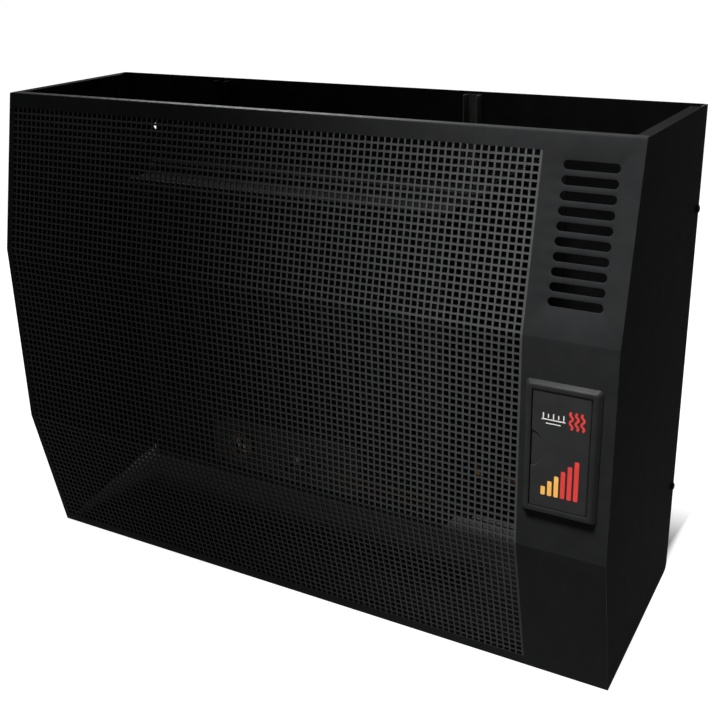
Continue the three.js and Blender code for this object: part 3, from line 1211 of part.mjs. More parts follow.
/** A block on the back plate with a bore for the bulb. */
function bulbClip() {
  const [left, right] = around(BULB_RIGHT - BULB.length / 2, CLIP.width);
  const reach = BULB.radius + SEAT_GAP + CLIP.wall;
  const body = block([left, right], [BULB_Y - reach, PLATE_FACE], around(BULB_Z, 2 * reach));
  return cut(body, bar('x', [BULB_Y, BULB_Z], BULB.radius + SEAT_GAP,
    left - CUT_SPARE, right + CUT_SPARE, SMALL_ROUND));
}

piece('burner_pipe', burnerPipe(), COPPER);
piece('gas_inlet_pipe', gasInlet(), BRASS);
piece('sensor_bulb', sensorBulb(), COPPER);
piece('bulb_clip', bulbClip(), ZINC_STEEL);

/** The upright plate that keeps the chamber's heat off the controls. */
function heatShield() {
  const x = CHAMBER_RIGHT + SHIELD_GAP;
  const outline = [
    [x, PLATE_FACE], [x, PLATE_FACE - SHIELD_DEPTH], [x + SHIELD_SHEET, PLATE_FACE - SHIELD_DEPTH],
    [x + SHIELD_SHEET, PLATE_FACE - SHIELD_SHEET], [x + SHIELD_FLANGE, PLATE_FACE - SHIELD_SHEET],
    [x + SHIELD_FLANGE, PLATE_FACE],
  ];
  return prism('z', outline, SHIELD_FOOT, SHIELD_TOP);
}

piece('heat_shield', heatShield(), ZINC_STEEL);

// ---------------------------------------------------------------- control door and its frame

/** The raised frame, with a collar through the casing sheet and sockets for the hinge pin. */
function doorBezel() {
  const rectangle = (inset, radius) => roundedRectangle(
    BEZEL_X, BEZEL_Z, BEZEL_WIDTH - 2 * inset, BEZEL_HEIGHT - 2 * inset, radius);
  const opening = BEZEL_BEVEL + BEZEL_RIM;
  const collarRear = MIDDLE_Y + CASE_SHEET + COLLAR_DEPTH;
  const frame = loft([
    { shape: rectangle(0, BEZEL_CORNER), y: BEZEL_SEAT },
    { shape: rectangle(BEZEL_BEVEL, RIM_CORNER), y: RIM_FACE },
  ]);
  const collar = extruded('y', rectangle(opening - COLLAR_WALL, OPENING_CORNER),
    collarRear, BEZEL_SEAT - JOIN_LAP);
  const hole = extruded('y', rectangle(opening, OPENING_CORNER),
    collarRear + CUT_SPARE, RIM_FACE - CUT_SPARE);
  const sockets = bar('z', [HINGE_X, HINGE_Y], HINGE_PIN_RADIUS + SEAT_GAP,
    ...around(BEZEL_Z, OPENING_HEIGHT + 2 * (HINGE_PIN_SEAT + SEAT_GAP)), SMALL_ROUND);
  return cut(join(frame, collar), hole, sockets);
}

piece('door_bezel', doorBezel(), BLACK_PLASTIC);
piece('door_hinge_pin', bar('z', [HINGE_X, HINGE_Y], HINGE_PIN_RADIUS,
  ...around(BEZEL_Z, OPENING_HEIGHT + 2 * HINGE_PIN_SEAT), SMALL_ROUND), STAINLESS);

// The door and its strike plate are drawn around the hinge pin.
const door = new THREE.Group();
door.position.set(HINGE_X, HINGE_Y, BEZEL_Z);
heater.add(door);

/** The pocket for a fingertip at the door's free edge, open to the left. */
function fingerRecess() {
  const { width, height, depth } = FINGER_RECESS;
  const left = -DOOR_REACH;
  const shape = new THREE.Shape();
  shape.moveTo(left - CUT_SPARE, -height / 2);
  shape.lineTo(left, -height / 2);
  shape.absarc(left, width - height / 2, width, -Math.PI / 2, 0);
  shape.absarc(left, height / 2 - width, width, 0, Math.PI / 2);
  shape.lineTo(left - CUT_SPARE, height / 2);
  return extruded('y', shape, -KNUCKLE_RADIUS + depth, -KNUCKLE_RADIUS - CUT_SPARE);
}

function controlDoor() {
  const half = DOOR_HEIGHT / 2;
  const sheet = block([-DOOR_REACH, 0], [-KNUCKLE_RADIUS, -KNUCKLE_RADIUS + DOOR_SHEET], [-half, half]);
  const knuckle = bar('z', [0, 0], KNUCKLE_RADIUS, -half, half);
  const bore = bar('z', [0, 0], HINGE_PIN_RADIUS + HINGE_PIN_PLAY, -half - CUT_SPARE, half + CUT_SPARE,
    SMALL_ROUND);
  return cut(join(sheet, knuckle), bore, fingerRecess());
}

const STRIKE_FRONT = -KNUCKLE_RADIUS + DOOR_SHEET + SEAT_GAP; // against the door's back
const STRIKE_LEFT = -DOOR_REACH + DOOR_GAP;

piece('control_door', controlDoor(), BLACK_PLASTIC, door);
piece('door_strike', block([STRIKE_LEFT, STRIKE_LEFT + STRIKE.width],
  [STRIKE_FRONT, STRIKE_FRONT + STRIKE.depth], around(0, STRIKE.height)), ZINC_STEEL, door);

/** The magnet in the frame's free side, behind the strike plate. */
function doorMagnet() {
  const left = BEZEL_X - OPENING_WIDTH / 2 + SEAT_GAP;
  const front = HINGE_Y + STRIKE_FRONT + STRIKE.depth + SEAT_GAP;
  return block([left, left + MAGNET.width], [front, front + MAGNET.depth], around(BEZEL_Z, MAGNET.height));
}

piece('door_magnet', doorMagnet(), FERRITE);

export default heater;
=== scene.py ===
import json
from math import asin, copysign, cos, inf, pi, sin, tan

import bmesh
import bpy
from mathutils import Matrix, Vector
from mathutils.geometry import delaunay_2d_cdt


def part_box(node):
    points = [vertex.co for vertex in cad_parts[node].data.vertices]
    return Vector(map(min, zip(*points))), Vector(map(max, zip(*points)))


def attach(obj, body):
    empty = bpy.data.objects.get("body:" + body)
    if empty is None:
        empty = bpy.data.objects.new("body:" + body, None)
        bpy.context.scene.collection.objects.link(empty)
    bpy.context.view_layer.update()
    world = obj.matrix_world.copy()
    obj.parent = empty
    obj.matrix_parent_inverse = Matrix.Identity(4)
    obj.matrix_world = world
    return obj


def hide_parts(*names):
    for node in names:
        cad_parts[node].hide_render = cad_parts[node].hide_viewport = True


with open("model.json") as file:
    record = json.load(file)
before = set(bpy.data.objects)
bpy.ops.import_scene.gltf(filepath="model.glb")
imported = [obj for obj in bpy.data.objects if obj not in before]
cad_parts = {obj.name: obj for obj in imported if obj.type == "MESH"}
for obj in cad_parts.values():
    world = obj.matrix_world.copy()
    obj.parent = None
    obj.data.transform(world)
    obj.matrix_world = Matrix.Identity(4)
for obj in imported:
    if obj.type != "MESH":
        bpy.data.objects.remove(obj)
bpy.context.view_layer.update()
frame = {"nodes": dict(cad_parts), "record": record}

MM = 0.001
DEG = pi / 180
SLOT_OF = {entry["node"]: entry["material_slot"] for entry in frame["record"]["subparts"]}
BODY_OF = {
    node: body for body, nodes in frame["record"]["behaviour"]["bodies"].items() for node in nodes
}


def box_mm(node):
    """The node's lowest corner, highest corner and middle, in millimetres."""
    low, high = (Vector(corner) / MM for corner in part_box(node))
    return low, high, (low + high) / 2


def in_scene(name, data):
    """A new object in the scene."""
    made = bpy.data.objects.new(name, data)
    bpy.context.scene.collection.objects.link(made)
    return made


# ---- materials

NOISE_RANGE = (0.3, 0.7)  # where most of the noise lies
LOOKS = {}  # materials by name


def node_in(tree, kind, inputs):
    """A new shader node. Each input, by name or number, gets a value or a link to a socket."""
    made = tree.nodes.new(f"ShaderNode{kind}")
    for key, value in inputs.items():
        if isinstance(value, bpy.types.NodeSocket):
            tree.links.new(value, made.inputs[key])
        else:
            made.inputs[key].default_value = value
    return made


def ranged(tree, value, before, after, kind="LINEAR"):
    """A number mapped from one range to another."""
    made = node_in(tree, "MapRange", {"Value": value, "From Min": before[0], "From Max": before[1],
                                      "To Min": after[0], "To Max": after[1]})
    made.interpolation_type = kind
    return made.outputs["Result"]


def noise_between(tree, place, scale, low, high, detail=3.0, stretch=None):
    """Noise over the surface, as a number between low and high."""
    if stretch:
        place = node_in(tree, "Mapping", {"Vector": place, "Scale": stretch}).outputs["Vector"]
    noise = node_in(tree, "TexNoise", {"Vector": place, "Scale": scale, "Detail": detail})
    return ranged(tree, noise.outputs["Fac"], NOISE_RANGE, (low, high))


def material(name, colour, second, roughness, *, metallic=0.0, specular=0.5, patch=40.0, grain=None,
             streaks=None, coat=0.0, swing=0.06, transmission=0.0):
    """Adds a surface to LOOKS. Its colour wanders between two tones in patches (so many per
    metre). It may have a grain (height and size in millimetres), and streaks if it is brushed."""
    made = bpy.data.materials.new(name)
    made.use_nodes = True
    tree = made.node_tree
    shader = tree.nodes["Principled BSDF"]
    place = node_in(tree, "TexCoord", {}).outputs["Object"]
    mix = node_in(tree, "Mix", {0: noise_between(tree, place, patch, 0, 1, stretch=streaks)})
    mix.data_type = "RGBA"
    tones = [entry for entry in mix.inputs if entry.type == "RGBA"]
    for entry, tone in zip(tones, (colour, second)):
        entry.default_value = (*tone, 1)
    mixed = next(entry for entry in mix.outputs if entry.type == "RGBA")
    tree.links.new(mixed, shader.inputs["Base Color"])
    rough = noise_between(tree, place, patch * 2.3, max(0.0, roughness - swing), roughness + swing,
                          stretch=streaks)
    tree.links.new(rough, shader.inputs["Roughness"])
    shader.inputs["Metallic"].default_value = metallic
    shader.inputs["Specular IOR Level"].default_value = specular
    shader.inputs["Coat Weight"].default_value = coat
    shader.inputs["Transmission Weight"].default_value = transmission
    if grain:
        height, size = grain
        bumps = noise_between(tree, place, 1 / (size * MM), 0, 1, 2.0, streaks)
        bump = node_in(tree, "Bump", {"Distance": height * MM, "Height": bumps})
        tree.links.new(bump.outputs["Normal"], shader.inputs["Normal"])
    LOOKS[name] = made


material("casing_coat", (0.012, 0.0124, 0.0128), (0.015, 0.0154, 0.0158), 0.55, specular=0.01,
         swing=0.03, grain=(0.03, 0.5))
# The net's coat is the strip's coat painted lighter: a painted highlight for the glint of the
# punched hole edges.
material("net_coat_painted_highlight", (0.040, 0.041, 0.041), (0.050, 0.051, 0.051), 0.5, specular=0.01, patch=120,
         swing=0.03, grain=(0.02, 0.4))
# The side panels' coat is the front's coat painted darker, with almost no gloss: a painted shade.
material("side_coat_painted_shade", (0.006, 0.0061, 0.0063), (0.008, 0.0081, 0.0083), 0.7, specular=0.004,
         swing=0.02, grain=(0.03, 0.5))
material("back_coat", (0.031, 0.0315, 0.032), (0.036, 0.0365, 0.037), 0.6, specular=0.1,
         swing=0.02, grain=(0.03, 0.5))
# A near-black coat used as painted shade: on the walls of the net's holes, the inner face of the
# back plate and the left strut.
material("painted_shade_coat", (0.004, 0.004, 0.004), (0.006, 0.006, 0.006), 0.8, specular=0.01,
         swing=0.02, grain=(0.03, 0.5))
material("chamber_enamel", (0.004, 0.004, 0.004), (0.008, 0.0077, 0.0075), 0.6, specular=0.03,
         patch=15, swing=0.03, grain=(0.05, 1.2))
material("moulded_black", (0.010, 0.0103, 0.0106), (0.013, 0.0133, 0.0136), 0.45, specular=0.07,
         swing=0.03, grain=(0.025, 0.35))
material("door_black", (0.016, 0.0164, 0.0168), (0.020, 0.0204, 0.0208), 0.5, specular=0.05,
         swing=0.03, grain=(0.025, 0.35))
material("knob_plastic", (0.045, 0.045, 0.047), (0.055, 0.055, 0.057), 0.42, specular=0.35,
         grain=(0.02, 0.3))
material("button_red", (0.40, 0.018, 0.012), (0.46, 0.025, 0.016), 0.3, grain=(0.01, 0.4))
material("zinc_steel", (0.30, 0.31, 0.32), (0.40, 0.41, 0.42), 0.45, metallic=1.0, patch=60,
         grain=(0.015, 0.8))
# Steel painted far darker than zinc steel: a painted shade for parts inside the dim casing.
material("dark_steel_painted_shade", (0.02, 0.0195, 0.019), (0.032, 0.031, 0.030), 0.65, metallic=0.6,
         specular=0.1, patch=45, grain=(0.03, 0.7))
material("stainless", (0.46, 0.47, 0.48), (0.56, 0.57, 0.58), 0.32, metallic=1.0, patch=90,
         streaks=(1, 8, 1), grain=(0.006, 0.4))
# Brass painted far darker than plain brass: a painted shade for the sight glass ring inside the
# casing.
material("dark_brass_painted_shade", (0.035, 0.026, 0.014), (0.055, 0.04, 0.02), 0.55, metallic=0.9,
         patch=90, grain=(0.02, 0.5))
material("brass", (0.50, 0.34, 0.13), (0.60, 0.43, 0.18), 0.32, metallic=1.0, patch=120,
         grain=(0.005, 0.3))
material("copper", (0.05, 0.026, 0.017), (0.08, 0.041, 0.027), 0.5, metallic=0.9, patch=80,
         grain=(0.01, 0.3))
material("cast_aluminium", (0.34, 0.345, 0.35), (0.44, 0.445, 0.45), 0.55, metallic=0.9, patch=90,
         grain=(0.08, 0.7))
material("fibre", (0.40, 0.37, 0.32), (0.52, 0.49, 0.43), 0.9, specular=0.2, patch=200,
         grain=(0.15, 0.5))
material("graphite_fibre", (0.014, 0.014, 0.0145), (0.022, 0.022, 0.023), 0.8, specular=0.1,
         patch=200, grain=(0.1, 0.5))
material("ceramic", (0.26, 0.25, 0.23), (0.36, 0.35, 0.32), 0.3, patch=150, coat=0.3)
material("lead_rubber", (0.018, 0.004, 0.004), (0.026, 0.005, 0.005), 0.6, specular=0.1, patch=100,
         grain=(0.02, 0.4))
material("magnet", (0.04, 0.038, 0.036), (0.06, 0.057, 0.054), 0.7, patch=300, grain=(0.03, 0.3))
material("sight_glass", (0.88, 0.95, 0.90), (0.92, 0.98, 0.94), 0.05, transmission=1.0, swing=0.02)
material("ink_red", (0.52, 0.022, 0.016), (0.60, 0.030, 0.022), 0.4, patch=150)
material("ink_white", (0.58, 0.57, 0.55), (0.68, 0.67, 0.65), 0.4, patch=150)
material("ink_amber", (0.75, 0.36, 0.06), (0.84, 0.45, 0.10), 0.4, patch=150)

# looks of slots whose names differ, and of nodes that don't look like their slot
SLOT_LOOKS = {"black_plastic": "moulded_black", "red_plastic": "button_red"}
# Many of these looks carry painted light: the side panels, back plate, heat shield, rail, shelf,
# air box, burner cover, sight glass ring and left strut are painted darker than their slots, a
# painted shade, and the right strut is painted lighter than the left, a painted highlight.
NODE_LOOKS = {
    "side_panel_left": "side_coat_painted_shade", "side_panel_right": "side_coat_painted_shade", "back_plate": "painted_shade_coat",
    "control_door": "door_black", "burner_cover": "dark_steel_painted_shade",
    "heat_shield": "chamber_enamel", "chamber_shelf": "dark_steel_painted_shade",
    "chamber_rail": "chamber_enamel", "air_box": "dark_steel_painted_shade",
    "chamber_gasket": "graphite_fibre", "cover_gasket": "graphite_fibre",
    "strut_left": "painted_shade_coat", "strut_right": "dark_steel_painted_shade",
    "sight_glass_ring": "dark_brass_painted_shade",
}


def look_of(node):
    # The chamber's screws and bolts take the darkened steel, a painted shade.
    if node.startswith(("cover_screw", "flange_bolt")):
        return "dark_steel_painted_shade"
    slot = SLOT_OF[node]
    return NODE_LOOKS.get(node) or SLOT_LOOKS.get(slot, slot)


# ---- pieces and their edges

SMOOTH_BELOW = 38 * DEG


def mesh_of(name, bm):
    mesh = bpy.data.meshes.new(name)
    bm.to_mesh(mesh)
    bm.free()
    return mesh


def mesh_from(name, bm):
    """A mesh in metres from a shape in millimetres."""
    bmesh.ops.scale(bm, vec=(MM, MM, MM), verts=bm.verts)
    bmesh.ops.recalc_face_normals(bm, faces=bm.faces)
    return mesh_of(name, bm)


def evaluated_mesh(made):
    """The mesh of an object with its modifiers applied."""
    graph = bpy.context.evaluated_depsgraph_get()
    return bpy.data.meshes.new_from_object(made.evaluated_get(graph))


def piece(name, bm, *nodes, looks=None, body=None, slot=None):
    """A finished piece from a shape in millimetres. It stands for the given nodes and looks like
    them, unless looks are named; without any, its looks and body are named. The slot argument is
    not used."""
    mesh = mesh_from(name, bm)
    mesh.shade_smooth()
    mesh.set_sharp_from_angle(angle=SMOOTH_BELOW)
    for look in looks or [look_of(nodes[0])]:
        mesh.materials.append(LOOKS[look])
    made = in_scene(name, mesh)
    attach(made, body or BODY_OF[nodes[0]])
    slot or SLOT_OF[nodes[0]]
    if nodes:
        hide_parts(*nodes)
    return made


def settle(made):
    """Turns the piece's modifiers into mesh."""
    mesh = evaluated_mesh(made)
    old = made.data
    made.modifiers.clear()
    made.data = mesh
    bpy.data.meshes.remove(old)
    mesh.name = made.name
    return made


def round_edges(made, width, segments=2):
    """Rounds the sharp edges of a piece and keeps its flat faces flat."""
    bevel = made.modifiers.new("edges", "BEVEL")
    bevel.width = width * MM
    bevel.segments = segments
    bevel.limit_method = "ANGLE"
    bevel.angle_limit = 30 * DEG
    weighted = made.modifiers.new("normals", "WEIGHTED_NORMAL")
    weighted.keep_sharp = False
    return settle(made)


def carve(made, bm):
    """Cuts a shape in millimetres out of a piece."""
    mesh = mesh_from("cutter", bm)
    cutter = in_scene("cutter", mesh)
    boolean = made.modifiers.new("carve", "BOOLEAN")
    boolean.operation = "DIFFERENCE"
    boolean.solver = "EXACT"
    boolean.object = cutter
    settle(made)
    made.data.set_sharp_from_angle(angle=SMOOTH_BELOW)
    bpy.data.objects.remove(cutter)
    bpy.data.meshes.remove(mesh)
    return made


def dressed(node, width):
    """The CAD node's shape with rounded edges."""
    bm = bmesh.new()
    bm.from_mesh(frame["nodes"][node].data)
    bmesh.ops.scale(bm, vec=(1 / MM, 1 / MM, 1 / MM), verts=bm.verts)
    bmesh.ops.remove_doubles(bm, verts=bm.verts, dist=0.002)
    bmesh.ops.dissolve_limit(bm, angle_limit=1 * DEG, verts=bm.verts, edges=bm.edges)
    return round_edges(piece(f"{node}_skin", bm, node), width)


# ---- shapes, in millimetres

def around(axis, centre, along, a, b):
    """A point so far along an axis, and at (a, b) from the centre across it."""
    point = [centre[0] + a, centre[1] + b]
    point.insert("xyz".index(axis), along)
    return Vector(point)


def ring_walls(bm, first, second):
    """Faces between two rings of vertices of equal count."""
    for i in range(len(first)):
        j = (i + 1) % len(first)
        bm.faces.new((first[i], first[j], second[j], second[i]))


def lofted(rings, tunnel=False):
    """A solid through rings of points. In a tunnel the last ring meets the first."""
    bm = bmesh.new()
    rows = [[bm.verts.new(point) for point in ring] for ring in rings]
    for first, second in zip(rows, rows[1:]):
        ring_walls(bm, first, second)
    if tunnel:
        ring_walls(bm, rows[-1], rows[0])
    else:
        bm.faces.new(rows[0])
        bm.faces.new(rows[-1])
    return bm


def turned(axis, centre, profile, bore=False, sides=48, shape=None):
    """A turned solid from (radius, along) pairs. With a through bore the profile runs out and
    back. A shape, if given, changes each radius by its angle."""
    rings = []
    for radius, along in profile:
        ring = []
        for i in range(sides):
            angle = 2 * pi * i / sides
            reach = shape(radius, along, angle) if shape else radius
            ring.append(around(axis, centre, along, reach * cos(angle), reach * sin(angle)))
        rings.append(ring)
    return lofted(rings, tunnel=bore)


def hexagon(axis, centre, radius, start, end, chamfer=0.8):
    """A hexagon nut or head with turned corners."""
    def shape(reach, along, angle):
        nearest = (angle + pi / 6) % (pi / 3) - pi / 6
        return min(reach, radius * cos(pi / 6) / cos(nearest))
    profile = [(radius - 1.6 * chamfer, start), (radius, start + chamfer), (radius, end - chamfer),
               (radius - 1.6 * chamfer, end)]
    return turned(axis, centre, profile, sides=72, shape=shape)


def thread(first, second, start, step, count):
    """The section of a thread, whose radius goes to and fro between two."""
    return [(second if i % 2 else first, start + i * step) for i in range(count)]


def joined(whole, *parts):
    """Several closed shapes as one."""
    for part in parts:
        mesh = mesh_of("joining", part)
        whole.from_mesh(mesh)
        bpy.data.meshes.remove(mesh)
    return whole


def pipe(corners, radius, bend, sides=20, steps=8):
    """A round pipe along straight runs joined by round bends."""
    points = [Vector(corner) for corner in corners]
    stations = [(points[0], (points[1] - points[0]).normalized())]
    for before, corner, after in zip(points, points[1:], points[2:]):
        inward, outward = (corner - before).normalized(), (after - corner).normalized()
        angle = inward.angle(outward)
        side = (outward - inward * inward.dot(outward)).normalized()
        start = corner - inward * bend * tan(angle / 2)
        for step in range(steps + 1):
            turn = angle * step / steps
            place = start + side * bend * (1 - cos(turn)) + inward * bend * sin(turn)
            stations.append((place, inward * cos(turn) + side * sin(turn)))
    stations.append((points[-1], (points[-1] - points[-2]).normalized()))
    across = stations[0][1].orthogonal().normalized()
    rings, last = [], stations[0][1]
    for place, direction in stations:
        across = last.rotation_difference(direction) @ across
        last = direction
        up = direction.cross(across)
        rings.append([place + radius * (across * cos(2 * pi * i / sides)
                                        + up * sin(2 * pi * i / sides))
                      for i in range(sides)])
    return lofted(rings)


def rounded_rectangle(x, z, half_x, half_z, radius, steps=6):
    """The outline of a rectangle with round corners, in (x, z)."""
    points = []
    for quarter, (side, level) in enumerate([(1, 1), (-1, 1), (-1, -1), (1, -1)]):
        for step in range(steps + 1):
            angle = (quarter + step / steps) * pi / 2
            points.append((x + side * (half_x - radius) + radius * cos(angle),
                           z + level * (half_z - radius) + radius * sin(angle)))
    return points


def rounded_rings(x, z, half_x, half_z, profile):
    """Rings with round corners across y, from (inset, y, corner radius)."""
    return [[Vector((px, y, pz)) for px, pz in rounded_rectangle(
        x, z, half_x - inset, half_z - inset, radius)] for inset, y, radius in profile]


def circle(x, z, radius, count=48):
    return [(x + radius * cos(2 * pi * i / count),
             z + radius * sin(2 * pi * i / count)) for i in range(count)]


def encloses(loop, point):
    inside = False
    for (ax, ay), (bx, by) in zip(loop, loop[1:] + loop[:1]):
        if (ay > point.y) != (by > point.y):
            if point.x < ax + (point.y - ay) / (by - ay) * (bx - ax):
                inside = not inside
    return inside


def triangles(outline, holes=()):
    """Triangles over a flat outline with holes, as triples of its points."""
    loops = [outline, *holes]
    flat = [point for loop in loops for point in loop]
    edges, start = [], 0
    for loop in loops:
        edges += [(start + i, start + (i + 1) % len(loop)) for i in range(len(loop))]
        start += len(loop)
    verts, _, faces, origins, *_ = delaunay_2d_cdt([Vector(p) for p in flat], edges, [], 1, 1e-5)
    for corners in faces:
        middle = (verts[corners[0]] + verts[corners[1]] + verts[corners[2]]) / 3
        if not any(encloses(hole, middle) for hole in holes):
            yield [flat[origins[i][0]] for i in corners]


def slab(axis, outline, holes, start, end):
    """A flat plate across an axis, with an outline and holes in the two other directions."""
    bm = bmesh.new()
    table = {}

    def vert(point, along):
        key = (round(point[0], 4), round(point[1], 4), along)
        if key not in table:
            table[key] = bm.verts.new(around(axis, (0, 0), along, *point))
        return table[key]

    for corners in triangles(outline, holes):
        for along in (start, end):
            bm.faces.new([vert(point, along) for point in corners])
    for loop in [outline, *holes]:
        ring_walls(bm, [vert(p, start) for p in loop], [vert(p, end) for p in loop])
    bmesh.ops.recalc_face_normals(bm, faces=bm.faces)
    bmesh.ops.dissolve_limit(bm, angle_limit=0.5 * DEG, verts=bm.verts, edges=bm.edges)
    return bm


# ---- folded sheet


class SheetLine:
    """The section of a folded sheet: a line of corners (a, b) with round bends. Places on it are
    lengths along its outer face from the second corner; depth goes to the sheet's other side."""

    def __init__(self, corners, radii):
        self.corners = [Vector(corner) for corner in corners]
        starts = [0.0]
        for first, second in zip(self.corners, self.corners[1:]):
            starts.append(starts[-1] + (second - first).length)
        self.starts = [start - starts[1] for start in starts]
        self.directions = [(second - first).normalized()
                           for first, second in zip(self.corners, self.corners[1:])]
        self.bends = []
        for i, radius in enumerate(radii, start=1):
            turn = self.directions[i - 1].angle(self.directions[i])
            self.bends.append((self.starts[i], radius * tan(turn / 2), radius, turn, i))

    def at(self, s, depth):
        for start, reach, radius, turn, i in self.bends:
            if abs(s - start) <= reach + 1e-6:
                before, after = self.directions[i - 1], self.directions[i]
                normal = Vector((before.y, -before.x))
                centre = self.corners[i] - before * reach - normal * radius
                across = Vector((after.y, -after.x))
                side = (across - normal * across.dot(normal)).normalized()
                angle = turn * (s - start + reach) / (2 * reach)
                outward = normal * cos(angle) + side * sin(angle)
                return centre + outward * (radius - depth)
        last = len(self.directions) - 1
        i = next((i for i in range(last) if s <= self.starts[i + 1]), last)
        direction = self.directions[i]
        normal = Vector((direction.y, -direction.x))
        return self.corners[i] + direction * (s - self.starts[i]) - normal * depth

    def bend_places(self, steps):
        """For each bend, the places at which it is split."""
        return [[start - reach + 2 * reach * i / steps for i in range(steps + 1)]
                for start, reach, *_ in self.bends]


class FoldedSheet:
    """Sheet metal folded along one axis. Faces are given by their corners on the flat sheet: u
    along the folds and s along the line. The place function turns (u, a, b) into a point, and
    the mouth function moves corners of the outer side. On the inner side a face's material number
    is inner_shift higher."""

    def __init__(self, line, thickness, place, inner_shift=0, mouth=lambda u, s: (u, s)):
        self.line, self.thickness, self.place = line, thickness, place
        self.inner_shift, self.mouth = inner_shift, mouth
        self.bm = bmesh.new()
        self.verts = {}
        self.open_edges = {}

    @staticmethod
    def key(u, s):
        return (round(u * 1e4), round(s * 1e4))

    def vert(self, u, s, side):
        key = (*self.key(u, s), side)
        if key not in self.verts:
            if side == 0:
                u, s = self.mouth(u, s)
            self.verts[key] = self.bm.verts.new(
                self.place(u, *self.line.at(s, side * self.thickness)))
        return self.verts[key]

    def face(self, corners, index=0):
        for side in (0, 1):
            made = self.bm.faces.new([self.vert(u, s, side) for u, s in corners])
            made.material_index = index + side * self.inner_shift
        for first, second in zip(corners, corners[1:] + corners[:1]):
            key = frozenset((self.key(*first), self.key(*second)))
            if key in self.open_edges:
                del self.open_edges[key]
            else:
                self.open_edges[key] = (first, second, index)

    def fill(self, outline, holes=(), index=0):
        for corners in triangles(outline, holes):
            self.face(corners, index)

    def close(self, walls=(0, 1)):
        """Adds the walls of the sheet's thickness along every open edge. Walls beside faces of
        material i have material walls[i]."""
        for first, second, index in self.open_edges.values():
            wall = self.bm.faces.new((self.vert(*second, 0), self.vert(*first, 0),
                                      self.vert(*first, 1), self.vert(*second, 1)))
            wall.material_index = walls[index]

    def outer_edges(self, test):
        """The outer face's border edges whose two ends pass a test."""
        return [self.bm.edges.get((self.vert(*first, 0), self.vert(*second, 0)))
                for first, second, _ in self.open_edges.values() if test(*first) and test(*second)]


# ---- casing front

PANEL_LOW, PANEL_HIGH, _ = box_mm("front_panel")
HALF_WIDTH = PANEL_HIGH.x
TOP_Z = PANEL_HIGH.z
BOTTOM_Z = PANEL_LOW.z
MIDDLE_Y = PANEL_LOW.y  # face of the vertical middle facet
SLOPE = tan(12 * DEG)  # of the upper and lower facets
UPPER_HEIGHT, LOWER_HEIGHT = 199, 187  # of these facets
UPPER_FOLD_Z = TOP_Z - UPPER_HEIGHT
LOWER_FOLD_Z = BOTTOM_Z + LOWER_HEIGHT
TOP_EDGE_Y = MIDDLE_Y + UPPER_HEIGHT * SLOPE
BOTTOM_EDGE_Y = MIDDLE_Y + LOWER_HEIGHT * SLOPE
CASE_SHEET = 1.2
LIP = 12
LIP_HALF = HALF_WIDTH - 1.5
LIP_BEND, FACET_BEND = 2, 8  # radii
BEND_STEPS = 4

HOLE = 5
MOUTH = 0.4  # how much further each side of a hole is at the outer face
HOLE_PITCH = 8
HOLES_ACROSS = (-407.5, 91)  # where the first is in x, and how many
HOLES_DOWN = (21.2, 76)  # the same along the sheet, from the top edge
NET_MARGIN = 3

SLOT_COUNT = 10
SLOT_LENGTH = 57.5
SLOT_WIDTH = 9
SLOT_PITCH = 15
FIRST_SLOT = 30.7
SLOT_X = HALF_WIDTH - 22 - SLOT_LENGTH / 2
SLOT_END_STEPS = 12

BEZEL_LOW, BEZEL_HIGH, BEZEL_MIDDLE = box_mm("door_bezel")
BEZEL_X, BEZEL_Z = BEZEL_MIDDLE.x, BEZEL_MIDDLE.z
BEZEL_HALF_X = (BEZEL_HIGH.x - BEZEL_LOW.x) / 2
BEZEL_HALF_Z = (BEZEL_HIGH.z - BEZEL_LOW.z) / 2
OPENING_INSET = 9  # the frame's outer edge to its opening
COLLAR_INSET = 7
SEAT_GAP = 0.3


def hole_edges(first, count):
    return [first + i * HOLE_PITCH + side * HOLE / 2 for i in range(count) for side in (-1, 1)]


def hole_offset(value, first, count):
    """How far a place is from the middle of a row's nearest hole, infinite past the row's ends."""
    i = round((value - first) / HOLE_PITCH)
    return value - first - i * HOLE_PITCH if 0 <= i < count else inf


